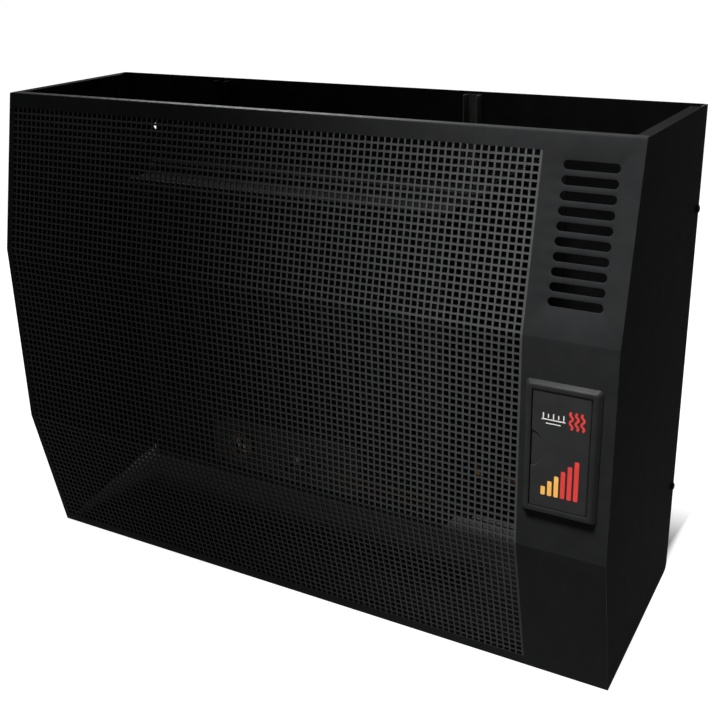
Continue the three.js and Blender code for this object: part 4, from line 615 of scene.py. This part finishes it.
def casing_front():
    line = SheetLine(
        [(TOP_EDGE_Y + LIP, TOP_Z), (TOP_EDGE_Y, TOP_Z), (MIDDLE_Y, UPPER_FOLD_Z),
         (MIDDLE_Y, LOWER_FOLD_Z), (BOTTOM_EDGE_Y, BOTTOM_Z), (BOTTOM_EDGE_Y + LIP, BOTTOM_Z)],
        [LIP_BEND, FACET_BEND, FACET_BEND, LIP_BEND])
    bends = line.bend_places(BEND_STEPS)
    column_edges, row_edges = hole_edges(*HOLES_ACROSS), hole_edges(*HOLES_DOWN)
    seam = column_edges[-1] + NET_MARGIN

    def widened(value, holes):
        offset = hole_offset(value, *holes)
        on_edge = abs(abs(offset) - HOLE / 2) < 1e-4
        return value + copysign(MOUTH, offset) if on_edge else value

    def mouth(u, s):
        """Holes are wider at the outer face, except beside a fold."""
        if not column_edges[0] - NET_MARGIN < u < seam - HOLE / 4:
            return u, s
        beside_fold = any(abs(s - place) < HOLE / 2 for bend in bends for place in bend)
        return widened(u, HOLES_ACROSS), s if beside_fold else widened(s, HOLES_DOWN)

    sheet = FoldedSheet(line, CASE_SHEET, lambda u, y, z: (u, y, z), mouth=mouth)

    # the perforated part and the lips, cell by cell
    us = [-HALF_WIDTH, -LIP_HALF, *column_edges, seam]
    ss = sorted({line.starts[0], line.starts[5], *row_edges, *sum(bends, [])})

    def cell(u0, u1, s0, s1):
        u, s = (u0 + u1) / 2, (s0 + s1) / 2
        if not bends[0][0] < s < bends[3][-1] and abs(u) > LIP_HALF:
            return
        if (abs(hole_offset(u, *HOLES_ACROSS)) < HOLE / 2
                and abs(hole_offset(s, *HOLES_DOWN)) < HOLE / 2):
            return
        net = (column_edges[0] - NET_MARGIN < u < seam
               and row_edges[0] - NET_MARGIN < s < row_edges[-1] + NET_MARGIN)
        # Net cells take the second look, a coat painted lighter than the strip's: a painted
        # highlight.
        sheet.face([(u0, s0), (u0, s1), (u1, s1), (u1, s0)], 1 if net else 0)

    flats = [(bends[i][-1], bends[i + 1][0]) for i in range(3)]
    for s0, s1 in zip(ss, ss[1:]):
        for u0, u1 in zip(us, us[1:]):
            cell(u0, u1, s0, s1)
        if not any(low - 1e-6 <= s0 and s1 <= high + 1e-6 for low, high in flats):
            cell(seam, LIP_HALF, s0, s1)
            cell(LIP_HALF, HALF_WIDTH, s0, s1)

    # the plain strip's facets, with the slots and the door's cut-out
    slots = [slot_outline(FIRST_SLOT + i * SLOT_PITCH) for i in range(SLOT_COUNT)]
    cut_x = BEZEL_HALF_X - COLLAR_INSET + SEAT_GAP
    cut_z = BEZEL_HALF_Z - COLLAR_INSET + SEAT_GAP
    door_s = line.starts[2] + UPPER_FOLD_Z - BEZEL_Z
    door = rounded_rectangle(BEZEL_X, door_s, cut_x, cut_z, 1, steps=2)
    for (low, high), holes in zip(flats, (slots, [door], [])):
        seam_side = [(seam, s) for s in ss if low - 1e-6 <= s <= high + 1e-6]
        sheet.fill([*seam_side, (LIP_HALF, high), (HALF_WIDTH, high), (HALF_WIDTH, low),
                    (LIP_HALF, low)], holes)
    # The walls of the net's holes take the third look, a near-black painted shade.
    sheet.close(walls=(0, 2))

    slot_points = {sheet.key(*point) for slot in slots for point in slot}
    bevels = [(sheet.outer_edges(lambda u, s: sheet.key(u, s) in slot_points), 0.6),
              (sheet.outer_edges(lambda u, s: abs(abs(u) - HALF_WIDTH) < 0.01), 0.5)]
    for edges, width in bevels:
        bmesh.ops.bevel(sheet.bm, geom=edges, offset=width, segments=2, profile=0.5,
                        affect="EDGES", clamp_overlap=True)
    piece("casing_front", sheet.bm, "front_panel", looks=["casing_coat", "net_coat_painted_highlight", "painted_shade_coat"])


def slot_outline(s):
    end = SLOT_WIDTH / 2
    straight = SLOT_LENGTH / 2 - end
    return [(SLOT_X + side * (straight + end * cos(angle)), s + side * end * sin(angle))
            for side in (1, -1)
            for angle in (pi * (step / SLOT_END_STEPS - 0.5)
                          for step in range(SLOT_END_STEPS + 1))]


# ---- casing sides, back, screws

BACK_SHEET = 1.5
BACK_FLANGE = 20
BACK_BEND = 2.5
PLATE_LOW, PLATE_HIGH, _ = box_mm("back_plate")
WALL_HOLE_X = PLATE_HIGH.x - 48
WALL_HOLE_DROP = 75
WALL_HOLE_RADIUS = 4.5
HEAD_RADIUS = 5
SHANK_RADIUS = 2.5
HEAD_HEIGHT = 3.5
RECESS_RADIUS, RECESS_DEPTH = 2.4, 1.8
BOLT_END = 2.5  # past its nut
CASE_SCREW_Y = -11
_, _, FLUE = box_mm("exhaust_duct")
FLUE_HOLE_RADIUS = 81


def back_plate():
    half = PLATE_HIGH.x
    line = SheetLine([(-BACK_FLANGE, -half), (0, -half), (0, half), (-BACK_FLANGE, half)],
                     [BACK_BEND] * 2)
    sheet = FoldedSheet(line, BACK_SHEET, lambda u, y, x: (x, y, u), inner_shift=1)
    low, high = PLATE_LOW.z, PLATE_HIGH.z
    bends = line.bend_places(BEND_STEPS)
    screw_levels = [box_mm(f"case_screw_{level}_left")[2].z for level in ("lower", "upper")]
    wall_holes = [circle(z, x + half, WALL_HOLE_RADIUS, 24) for x in (-WALL_HOLE_X, WALL_HOLE_X)
                  for z in (low + WALL_HOLE_DROP, high - WALL_HOLE_DROP)]
    flue = circle(FLUE.z, FLUE.x + half, FLUE_HOLE_RADIUS, 72)
    sheet.fill([(low, bends[0][-1]), (high, bends[0][-1]), (high, bends[1][0]), (low, bends[1][0])],
               [flue, *wall_holes])
    for edge, bend, screw_s in ((line.starts[0], bends[0][0], CASE_SCREW_Y),
                                (line.starts[3], bends[1][-1], line.starts[2] - CASE_SCREW_Y)):
        sheet.fill([(low, edge), (high, edge), (high, bend), (low, bend)],
                   [circle(z, screw_s, SHANK_RADIUS + SEAT_GAP, 16) for z in screw_levels])
    for bend in bends:
        for s0, s1 in zip(bend, bend[1:]):
            sheet.face([(low, s0), (high, s0), (high, s1), (low, s1)])
    sheet.close()
    # The plate's inner face takes the near-black painted shade.
    piece("back_plate_sheet", sheet.bm, "back_plate", looks=["back_coat", "painted_shade_coat"])


def cross_recess(radius, depth):
    """Two tapered bars along +y from the origin, which cut a cross recess."""
    return [lofted([[(x * k, y, z * k) for x, z in
                     ((-half_x, -half_z), (half_x, -half_z), (half_x, half_z), (-half_x, half_z))]
                    for k, y in ((1.15, -2), (0.55, depth))])
            for half_x, half_z in ((radius, 0.55), (0.55, radius))]


def screw(node, axis, sign):
    """A pan head screw in the node's place. Its head points to sign along the axis."""
    low, high, middle = box_mm(node)
    i = "xyz".index(axis)
    tip, top = (low[i], high[i]) if sign > 0 else (high[i], low[i])
    seat = top - sign * HEAD_HEIGHT
    across = [middle[j] for j in range(3) if j != i]
    dome = [(HEAD_RADIUS * cos(t * 15 * DEG),
             seat + sign * (1.2 + 2.3 * sin(t * 15 * DEG))) for t in range(6)]
    profile = [(SHANK_RADIUS * 0.7, tip), (SHANK_RADIUS, tip + sign * 0.8),
               (SHANK_RADIUS, seat), (HEAD_RADIUS, seat), *dome,
               (0.8, top - sign * 0.03)]
    made = piece(f"{node}_pan", turned(axis, across, profile, sides=32), node)
    turn = Matrix.Rotation(sign * 90 * DEG, 4, "Z") if axis == "x" else Matrix.Identity(4)
    place = Vector(middle)
    place[i] = top
    for arm in cross_recess(RECESS_RADIUS, RECESS_DEPTH):
        bmesh.ops.transform(arm, matrix=Matrix.Translation(place) @ turn, verts=arm.verts)
        carve(made, arm)


# ---- door frame and door

RIM_Y = BEZEL_LOW.y
FRAME_SEAT_Y = RIM_Y + 6
_, _, HINGE = box_mm("door_hinge_pin")
KNUCKLE_RADIUS = 2.75
KNUCKLE_BORE = 1.25
DOOR_SHEET = 2.5
DOOR_LOW, DOOR_HIGH, _ = box_mm("control_door")


def door_frame():
    collar_y = BEZEL_HIGH.y
    profile = [
        (COLLAR_INSET, FRAME_SEAT_Y, 1), (0.4, FRAME_SEAT_Y, 4), (0, FRAME_SEAT_Y - 0.5, 4),
        (3.2, RIM_Y + 0.9, 3.3), (3.8, RIM_Y + 0.25, 3.1), (4.6, RIM_Y, 3),
        (OPENING_INSET - 0.9, RIM_Y, 1.6), (OPENING_INSET - 0.25, RIM_Y + 0.25, 1.2),
        (OPENING_INSET, RIM_Y + 0.9, 1), (OPENING_INSET, collar_y, 1), (COLLAR_INSET, collar_y, 1),
    ]
    rings = rounded_rings(BEZEL_X, BEZEL_Z, BEZEL_HALF_X, BEZEL_HALF_Z, profile)
    piece("door_frame", lofted(rings, tunnel=True), "door_bezel")


def control_door():
    back = HINGE.y - KNUCKLE_RADIUS + DOOR_SHEET
    last = pi + asin((HINGE.y - back) / KNUCKLE_RADIUS)
    steps = 30
    turns = [-pi / 2 + (last + pi / 2) * i / steps for i in range(steps + 1)]
    knuckle = [(HINGE.x + KNUCKLE_RADIUS * cos(a), HINGE.y + KNUCKLE_RADIUS * sin(a))
               for a in turns]
    outline = [(DOOR_LOW.x, DOOR_LOW.y), *knuckle, (DOOR_LOW.x, back)]
    made = piece("door_leaf", slab("z", outline, [circle(HINGE.x, HINGE.y, KNUCKLE_BORE, 20)],
                                   DOOR_LOW.z, DOOR_HIGH.z), "control_door")
    x, half, corner, deep = DOOR_LOW.x, 20.5, 10, 1.2  # finger recess at the free edge
    pocket = [(x - 2, -half)]
    pocket += [(x + corner * cos(a), side * (half - corner) + corner * sin(a))
               for side, first in ((-1, -90), (1, 0))
               for a in ((first + 90 * i / 10) * DEG for i in range(11))]
    pocket.append((x - 2, half))
    pocket = [(px, BEZEL_Z + pz) for px, pz in pocket]
    carve(made, slab("y", pocket, [], DOOR_LOW.y - 1, DOOR_LOW.y + deep))
    round_edges(made, 0.35)


def ribbon(points, width):
    """The outline of a stroke of even width along points."""
    left, right = [], []
    for i, point in enumerate(points):
        before, after = points[max(0, i - 1)], points[min(len(points) - 1, i + 1)]
        along = (Vector(after) - Vector(before)).normalized()
        across = Vector((-along.y, along.x)) * width / 2
        left.append(tuple(Vector(point) + across))
        right.append(tuple(Vector(point) - across))
    return left + right[::-1]


PRINT_DEPTH = 0.08
WAVES_X, WAVES_FOOT, WAVE_PITCH = 376, 24, 6.2
SCALE_X, SCALE_Z = 357, 30.5
BARS_X, BARS_FOOT, BAR_PITCH, BAR_RISE = 348.5, -57, 7.2, 3.6


def door_print():
    """Plain marks on the door: heat waves beside a scale above, rising bars below."""
    face = DOOR_LOW.y + 0.01

    def printed(name, outlines, ink):
        marks = [slab("y", outline, [], face, face - PRINT_DEPTH) for outline in outlines]
        piece(f"door_print_{name}", joined(*marks), looks=[ink], body="door", slot="black_plastic")

    printed("waves", [ribbon([
        (WAVES_X + WAVE_PITCH * i + 1.5 * sin(t * 30 * DEG), WAVES_FOOT + t * 0.8)
        for t in range(25)], 2.4) for i in range(3)], "ink_red")
    ticks = [rounded_rectangle(SCALE_X - 11 + 5.5 * i, SCALE_Z + 4, 0.6, 2.2 if i % 2 else 3.2, 0.5)
             for i in range(5)]
    printed("scale", [rounded_rectangle(SCALE_X, SCALE_Z, 13, 0.6, 0.5),
                      rounded_rectangle(SCALE_X, SCALE_Z - 4.3, 8, 0.5, 0.4), *ticks], "ink_white")
    bars = [rounded_rectangle(BARS_X + BAR_PITCH * i, BARS_FOOT + half, 2.4, half, 1.2)
            for i, half in enumerate(5 + BAR_RISE * i for i in range(6))]
    printed("low_bars", bars[:3], "ink_amber")
    printed("high_bars", bars[3:], "ink_red")


# ---- controls behind the door

KNOB_LOW, KNOB_HIGH, KNOB = box_mm("control_knob")
KNOB_RADIUS = 21
GRIP_RADIUS = 15
SKIRT = 6
FLUTES = 12
CONTROL_LOW, CONTROL_HIGH, CONTROL = box_mm("control_plate")
_, _, IGNITER = box_mm("igniter_button")
DIAL_NUMBERS = 7
DIAL_START, DIAL_SWEEP = 215, 250  # degrees
NUMBER_RADIUS, NUMBER_SIZE = 27.6, 5
IGNITER_DEPTH = 34  # behind the control plate


def control_knob():
    back, front = KNOB_HIGH.y, KNOB_LOW.y
    skirt_y = back - SKIRT

    def fluted(radius, along, angle):
        if along > skirt_y - 0.9:
            return radius
        depth = min(1.0, max(0.0, (radius - 12.2) / 1.3))
        return radius - depth * (0.5 - 0.5 * cos(FLUTES * angle)) ** 2

    profile = [
        (1, front + SKIRT), (4.3, front + SKIRT), (4.3, back), (KNOB_RADIUS - 0.6, back),
        (KNOB_RADIUS, back - 0.6), (KNOB_RADIUS, back - 3.2), (KNOB_RADIUS - 0.6, back - 4.2),
        (KNOB_RADIUS - 3, skirt_y + 0.4), (GRIP_RADIUS + 0.6, skirt_y),
        (GRIP_RADIUS, skirt_y - 0.7), (GRIP_RADIUS, skirt_y - 1.4),
        (GRIP_RADIUS - 0.2, front + 1.6), (GRIP_RADIUS - 0.6, front + 0.6),
        (GRIP_RADIUS - 1.5, front + 0.1), (GRIP_RADIUS - 2.6, front + 0.1),
        (GRIP_RADIUS - 3.4, front + 0.5), (6, front + 0.6), (1, front + 0.6),
    ]
    piece("knob_grip", turned("y", (KNOB.x, KNOB.z), profile, sides=144, shape=fluted),
          "control_knob")
    strokes = [slab("y", rounded_rectangle(KNOB.x, KNOB.z + 7, 1.1, 4.2, 1.0), [],
                    front + 0.65, front + 0.45),
               slab("y", rounded_rectangle(KNOB.x, KNOB.z + 17, 0.9, 1.0, 0.8), [],
                    skirt_y + 0.45, skirt_y - 0.02)]
    piece("knob_pointer", joined(*strokes), looks=["ink_white"], body="knob",
          slot="knob_plastic")


def figures(text, x, z, size, face):
    """Figures printed on a plate that faces -y, as a closed shape."""
    curve = bpy.data.curves.new("figures", "FONT")
    curve.body = text
    curve.size = size
    curve.extrude = PRINT_DEPTH / 2
    curve.align_x = curve.align_y = "CENTER"
    curve.resolution_u = 3
    holder = in_scene("figures", curve)
    mesh = evaluated_mesh(holder)
    bm = bmesh.new()
    bm.from_mesh(mesh)
    bpy.data.objects.remove(holder)
    bpy.data.curves.remove(curve)
    bpy.data.meshes.remove(mesh)
    upright = Matrix.Rotation(90 * DEG, 4, "X")
    bmesh.ops.transform(bm, verts=bm.verts,
                        matrix=Matrix.Translation((x, face - PRINT_DEPTH / 2, z)) @ upright)
    bmesh.ops.remove_doubles(bm, verts=bm.verts, dist=0.001)
    return bm


def control_plate():
    half_x = (CONTROL_HIGH.x - CONTROL_LOW.x) / 2
    half_z = (CONTROL_HIGH.z - CONTROL_LOW.z) / 2
    front = CONTROL_LOW.y
    holes = [circle(KNOB.x, KNOB.z, 22.5, 64), circle(IGNITER.x, IGNITER.z, 6.8, 32)]
    outline = rounded_rectangle(CONTROL.x, CONTROL.z, half_x, half_z, 4)
    made = piece("control_plate_sheet", slab("y", outline, holes, front, CONTROL_HIGH.y),
                 "control_plate")
    round_edges(made, 0.3)

    marks = []
    for i in range(DIAL_NUMBERS):
        angle = (DIAL_START - i * DIAL_SWEEP / (DIAL_NUMBERS - 1)) * DEG
        across, rise = cos(angle), sin(angle)
        marks.append(figures(str(i + 1), KNOB.x + NUMBER_RADIUS * across,
                             KNOB.z + NUMBER_RADIUS * rise, NUMBER_SIZE, front))
        tick = ribbon([(KNOB.x + r * across, KNOB.z + r * rise) for r in (23.3, 25)], 0.6)
        marks.append(slab("y", tick, [], front, front - PRINT_DEPTH))
    marks.append(slab("y", circle(IGNITER.x, IGNITER.z, 14.6, 48),
                      [circle(IGNITER.x, IGNITER.z, 14, 48)], front, front - PRINT_DEPTH))
    piece("dial_print", joined(*marks), looks=["ink_white"], body="casing", slot="casing_coat")


def igniter():
    centre = (IGNITER.x, IGNITER.z)
    low, high, _ = box_mm("igniter_button")
    edge = [(4 + 0.5 * cos(t * 30 * DEG), low.y + 1.1 - 0.5 * sin(t * 30 * DEG))
            for t in range(4)]
    crown = [(3.2, low.y + 0.35), (2.0, low.y + 0.1), (0.7, low.y)]
    piece("igniter_cap", turned("y", centre, [(4.2, high.y), (4.5, high.y - 0.3), *edge, *crown]),
          "igniter_button")
    low, high, _ = box_mm("igniter_nut")
    made = piece("igniter_ring_nut", hexagon("y", centre, 10.5, low.y, high.y), "igniter_nut")
    carve(made, turned("y", centre, [(6.7, low.y - 1), (6.7, high.y + 1)]))
    low, high, _ = box_mm("igniter_body")
    seat = high.y - IGNITER_DEPTH
    piece("igniter_case", turned("y", centre, [
        (0.6, low.y + 22), (4.8, low.y + 22), (4.8, low.y + 0.4), (5.2, low.y), (6.1, low.y),
        *thread(6.5, 6.1, seat - 5.75, 0.55, 10), (6.1, seat), (8.6, seat), (9, seat + 0.4),
        (9, high.y - 0.8), (8.2, high.y), (3, high.y), (3, high.y - 1), (0.6, high.y - 1)]),
        "igniter_body")


# ---- ducts, pipes and leads

AIR_DUCT_RADIUS = 75
EXHAUST_RADIUS = 45


def ducts():
    centre = (FLUE.x, FLUE.z)
    low, high, _ = box_mm("air_duct")
    r = AIR_DUCT_RADIUS
    piece("air_duct_tube", turned("y", centre, [
        (r - 1, low.y), (r + 14.7, low.y), (r + 15, low.y + 0.3), (r + 15, low.y + 1.2),
        (r + 14.7, low.y + 1.5), (r + 1.2, low.y + 1.5), (r + 0.35, low.y + 1.8),
        (r, low.y + 2.6), (r, high.y - 0.3), (r - 0.3, high.y), (r - 0.7, high.y),
        (r - 1, high.y - 0.3)], bore=True, sides=96), "air_duct")
    low, high, _ = box_mm("exhaust_duct")
    r = EXHAUST_RADIUS
    piece("exhaust_duct_tube", turned("y", centre, [
        (r - 1.5, low.y), (r, low.y), (r, high.y - 0.4), (r - 0.4, high.y), (r - 1.1, high.y),
        (r - 1.5, high.y - 0.4)], bore=True, sides=72), "exhaust_duct")
    low, high, _ = box_mm("duct_seal")
    r = AIR_DUCT_RADIUS
    piece("duct_seal_ring", turned("y", centre, [
        (r, low.y), (r + 15, low.y), (r + 15, high.y), (r, high.y)], bore=True, sides=72),
        "duct_seal")


VALVE_LOW, VALVE_HIGH, VALVE = box_mm("gas_valve")
VALVE_DEPTH = 63
VALVE_FRONT_Y = VALVE_HIGH.y - VALVE_DEPTH
PORT_Z = VALVE_LOW.z - SEAT_GAP
_, _, COVER = box_mm("burner_cover")
PILOT_PORT = (BEZEL_X - 20, VALVE_FRONT_Y + 37)  # the valve's ports from below, in (x, y)
THERMOCOUPLE_PORT = (BEZEL_X - 8, VALVE_FRONT_Y + 25)
SENSOR_PORT = (BEZEL_X - 20, VALVE_FRONT_Y + 53)
PILOT_PITCH = 16  # between electrode, thermocouple and pilot burner
LEAD_RADIUS, LEAD_BEND = 2, 8
LEAD_GAP, SUPPLY_GAP = 13, 35  # of the lead's and the supply's risers, from the valve's left
LEAD_REAR = 16  # of the lead behind the igniter
BULB_RIGHT = BEZEL_X - 35
CAPILLARY_DROP = 65  # below the valve
PIPE_NUT = 12
UNION_NUT = 14
UNION_THREAD = 16


def lead(start, port):
    """A thin line from the pilot group, out through the cover and along to the valve."""
    x, y = port
    return pipe([start, (start[0], y, start[2]), (x, y, start[2]), (x, y, PORT_Z)],
                LEAD_RADIUS, LEAD_BEND)


def pilot_lines():
    low, high, middle = box_mm("ignition_electrode")
    x, z = middle.x, COVER.z
    inner_y, entry_y = high.y - 14, low.y
    probe_x, pilot_x = x + PILOT_PITCH, x + 2 * PILOT_PITCH

    hood_z = box_mm("pilot_bracket")[1].z + SEAT_GAP + 6
    hood = lofted(rounded_rings(pilot_x, hood_z, 6.5, 6, [
        (0.8, inner_y - 1, 1.5), (0, inner_y - 0.2, 1.5), (0, inner_y + 13.2, 1.5),
        (0.8, inner_y + 14, 1.5)]))
    piece("pilot_line", joined(lead((pilot_x, inner_y, z), PILOT_PORT), hood), "pilot_burner")

    probe = turned("y", (probe_x, z), [
        (2.4, entry_y), (3, entry_y + 0.6), (3, inner_y + 10), (2.6, inner_y + 13),
        (1.4, inner_y + 14)], sides=24)
    piece("thermocouple_line", joined(lead((probe_x, inner_y, z), THERMOCOUPLE_PORT), probe),
          "thermocouple")

    ceramic = turned("y", (x, z), [
        (3.4, entry_y), (4, entry_y + 0.6), (4, entry_y + 3), (3.3, entry_y + 3.6),
        (3.3, entry_y + 4.6), (4, entry_y + 5.2), (4, inner_y - 0.8), (3, inner_y)], sides=32)
    wire = turned("y", (x, z), [(1, inner_y - 1), (1, high.y)], sides=12)
    piece("electrode_rod", joined(ceramic, wire), "ignition_electrode")

    riser_x, riser_y = VALVE_LOW.x - LEAD_GAP, VALVE_FRONT_Y + LEAD_GAP
    rear = box_mm("igniter_body")[1].y + SEAT_GAP
    piece("ignition_lead_run", pipe([
        (x, entry_y - SEAT_GAP, z), (x, riser_y, z), (riser_x, riser_y, z),
        (riser_x, riser_y, IGNITER.z), (riser_x, rear + LEAD_REAR, IGNITER.z),
        (IGNITER.x, rear + LEAD_REAR, IGNITER.z), (IGNITER.x, rear, IGNITER.z)],
        LEAD_RADIUS, LEAD_BEND), "ignition_lead")


def gas_lines():
    low, high, _ = box_mm("burner_pipe")
    _, _, burner = box_mm("injector")
    start, end, riser = low.x, high.x, VALVE_LOW.x - SUPPLY_GAP
    outlet = ((VALVE_FRONT_Y + VALVE_HIGH.y) / 2, VALVE.z)
    run = pipe([(start, burner.y, burner.z), (riser, burner.y, burner.z),
                (riser, burner.y, VALVE.z), (riser, *outlet), (end, *outlet)], 5, 14, 28, 10)
    piece("burner_supply", joined(
        run, hexagon("x", (burner.y, burner.z), 10, start, start + PIPE_NUT),
        hexagon("x", outlet, 10, end - PIPE_NUT, end)), "burner_pipe")

    low, high, middle = box_mm("gas_inlet_pipe")
    centre = (middle.x, middle.y)
    end, top = low.z, high.z
    thread_top = end + UNION_THREAD
    run = turned("z", centre, [
        (0.6, end + 20), (6, end + 20), (6, end + 0.6), (6.6, end), (9.4, end),
        *thread(9.7, 10.5, end + 1, 0.92, 16), (9.4, thread_top), (8, thread_top), (8, top),
        (0.6, top)])
    piece("gas_inlet_union", joined(
        run, hexagon("z", centre, 13, top - UNION_NUT, top),
        hexagon("z", centre, 13, thread_top, thread_top + UNION_NUT)), "gas_inlet_pipe")


def sensor():
    low, _, _ = box_mm("sensor_bulb")
    clip_low, clip_high, clip = box_mm("bulb_clip")
    y, z = clip_low.y + (clip_high.z - clip_low.z) / 2, clip.z
    (port_x, port_y), run_z = SENSOR_PORT, VALVE_LOW.z - CAPILLARY_DROP
    run = pipe([(BULB_RIGHT - 1, y, z), (port_x, y, z), (port_x, y, run_z),
                (port_x, port_y, run_z), (port_x, port_y, PORT_Z)], 1.3, 5, 14)
    bulb = turned("x", (y, z), [
        (1.5, low.x), (3.2, low.x + 0.8), (4, low.x + 2.4), (4, BULB_RIGHT - 5),
        (3.2, BULB_RIGHT - 2), (1.6, BULB_RIGHT)], sides=28)
    piece("sensor_line", joined(run, bulb), "sensor_bulb")


def sight_window():
    low, high, middle = box_mm("sight_glass_ring")
    centre = (middle.x, middle.z)
    piece("sight_ring", turned("y", centre, [
        (11, low.y + 0.6), (11.6, low.y), (18.6, low.y), (19.6, low.y + 0.8), (20, low.y + 1.8),
        (20, high.y), (14.3, high.y), (14.3, low.y + 3), (11, low.y + 3)], bore=True),
        "sight_glass_ring")
    low, high, _ = box_mm("sight_glass")
    piece("sight_disc", turned("y", centre, [
        (13.7, low.y), (14, low.y + 0.3), (14, high.y - 0.3), (13.7, high.y)]), "sight_glass")


def flange_bolt(node):
    low, high, middle = box_mm(node)
    centre = (middle.x, middle.z)
    head_back = low.y + HEAD_HEIGHT
    nut_front = high.y - BOLT_END - HEAD_HEIGHT
    shank = turned("y", centre, [
        (SHANK_RADIUS, head_back - 1), (SHANK_RADIUS, high.y - 0.5), (2, high.y)], sides=20)
    piece(f"{node}_hex", joined(
        shank, hexagon("y", centre, HEAD_RADIUS, low.y, head_back, 0.4),
        hexagon("y", centre, HEAD_RADIUS, nut_front, nut_front + HEAD_HEIGHT, 0.4)), node)


# ---- making the pieces

casing_front()
back_plate()
door_frame()
control_door()
door_print()
control_knob()
control_plate()
igniter()
ducts()
pilot_lines()
gas_lines()
sensor()
sight_window()

for side, sign in (("left", -1), ("right", 1)):
    for level in ("upper", "lower"):
        screw(f"case_screw_{level}_{side}", "x", sign)
        screw(f"cover_screw_{level}_{side}", "y", -1)
        flange_bolt(f"flange_bolt_{level}_{side}")

EDGE_WIDTHS = {
    "side_panel_left": 0.4, "side_panel_right": 0.4, "strut_left": 0.4, "strut_right": 0.4,
    "chamber_shelf": 0.4, "chamber_rail": 0.4, "chamber_rear_shell": 1.2,
    "chamber_front_shell": 1.2, "air_box": 0.35, "burner_cover": 0.7, "pilot_bracket": 0.4,
    "gas_valve": 1.2, "valve_bracket": 0.4, "heat_shield": 0.35, "bulb_clip": 0.6,
    "door_strike": 0.2, "door_magnet": 0.4,
}
for node_name, width in EDGE_WIDTHS.items():
    dressed(node_name, width)

for node_name, node_object in frame["nodes"].items():
    for entry in node_object.material_slots:
        entry.material = LOOKS[look_of(node_name)]

# ---- floor, light and camera

FLOOR_GAP = 1  # under the casing
FLOOR_REACH = 15  # metres
SHADE_EDGES = [  # direction, where the casing's shade ends along it and the open floor begins
    ((0.9986, 0.0534, 0), 0.392, 0.411), ((-1, 0, 0), 0.48, 0.72), ((0, -1, 0), 0.215, 0.225),
    ((0, 1, 0), 0.07, 0.28), ((-0.67, -0.742, 0), 0.440, 0.448),
]
CORE_EDGES = [((-1, 0, 0), 0.42, 0.50), ((0, 1, 0), 0.0, 0.08)]  # of the deep shade
CORE_TONE, SHADE_TONE, OPEN_TONE = 0.02, 0.10, 0.30
SOFT_LIGHT = 0.2  # of the world, where 1 is white


def computed(tree, operation, *values):
    """The result of a Math node."""
    made = node_in(tree, "Math", dict(enumerate(values)))
    made.operation = operation
    return made.outputs["Value"]


def seen(tree):
    """1 for rays of the camera, of glossy surfaces and through glass, otherwise 0."""
    path = node_in(tree, "LightPath", {}).outputs
    total = computed(tree, "MAXIMUM", path["Is Camera Ray"], path["Is Glossy Ray"])
    return computed(tree, "MAXIMUM", total, path["Is Transmission Ray"])


def beyond(tree, edges):
    """1 where the floor lies past any of the edges, otherwise 0, with soft edges."""
    place = node_in(tree, "TexCoord", {}).outputs["Object"]
    total = None
    for direction, shaded, clear in edges:
        along = node_in(tree, "VectorMath", {0: place, 1: direction})
        along.operation = "DOT_PRODUCT"
        past = ranged(tree, along.outputs["Value"], (shaded, clear), (0, 1), "SMOOTHSTEP")
        total = computed(tree, "MAXIMUM", total, past) if total else past
    return total


def pale_floor():
    """A pale floor that reads as white around the casing and keeps its shade."""
    bm = bmesh.new()
    bmesh.ops.create_grid(bm, x_segments=1, y_segments=1, size=FLOOR_REACH)
    mesh = mesh_of("floor", bm)
    floor = in_scene("floor", mesh)
    floor.location.z = (BOTTOM_Z - FLOOR_GAP) * MM
    made = bpy.data.materials.new("floor")
    made.use_nodes = True
    tree = made.node_tree
    shader = tree.nodes["Principled BSDF"]
    shader.inputs["Roughness"].default_value = 0.9
    shader.inputs["Specular IOR Level"].default_value = 0.0
    openness = beyond(tree, SHADE_EDGES)
    shade = computed(tree, "MULTIPLY_ADD", beyond(tree, CORE_EDGES), SHADE_TONE - CORE_TONE,
                     CORE_TONE)
    tone = computed(tree, "MULTIPLY_ADD", openness, OPEN_TONE - SHADE_TONE, shade)
    tree.links.new(tone, shader.inputs["Base Color"])
    strength = computed(tree, "MULTIPLY", openness, seen(tree))
    glow = node_in(tree, "Emission", {"Strength": strength})
    both = node_in(tree, "AddShader", {0: shader.outputs["BSDF"], 1: glow.outputs["Emission"]})
    tree.links.new(both.outputs["Shader"], tree.nodes["Material Output"].inputs["Surface"])
    mesh.materials.append(made)


def soft_lamp(name, place, target, size, power, spread=180):
    """A round lamp that shines at a target. Its light spreads over so many degrees."""
    data = bpy.data.lights.new(name, "AREA")
    data.shape = "DISK"
    data.size = size
    data.energy = power
    data.spread = spread * DEG
    lamp = in_scene(name, data)
    lamp.location = place
    lamp.rotation_euler = (Vector(target) - Vector(place)).to_track_quat("-Z", "Y").to_euler()


def studio_world():
    """A world that looks white and lights the casing softly."""
    world = bpy.data.worlds.new("studio")
    world.use_nodes = True
    bpy.context.scene.world = world
    tree = world.node_tree
    background = tree.nodes["Background"]
    background.inputs["Color"].default_value = (1, 1, 1, 1)
    strength = ranged(tree, seen(tree), (0, 1), (SOFT_LIGHT, 1))
    tree.links.new(strength, background.inputs["Strength"])


pale_floor()
studio_world()
soft_lamp("key", (0.18, -0.86, 1.45), (0.42, -0.25, 0.01), size=0.4, power=2.8, spread=34)
soft_lamp("fill", (-1.1, 1.3, 0.9), (0, 0, 0), size=0.8, power=28)

camera_data = bpy.data.cameras.new("camera")
camera_data.lens = 55.03
camera_data.sensor_width = 36
camera_data.clip_start = 0.01
camera = in_scene("camera", camera_data)
forward = Vector((-0.47753301, 0.79769331, -0.36830368))
up = Vector((-0.16684517, 0.32923001, 0.92939243))
camera.matrix_world = Matrix.Translation((0.71368, -1.24783, 0.50763)) @ Matrix(
    (forward.cross(up), up, -forward)).transposed().to_4x4()
bpy.context.scene.camera = camera
bpy.context.scene.view_settings.view_transform = "Standard"
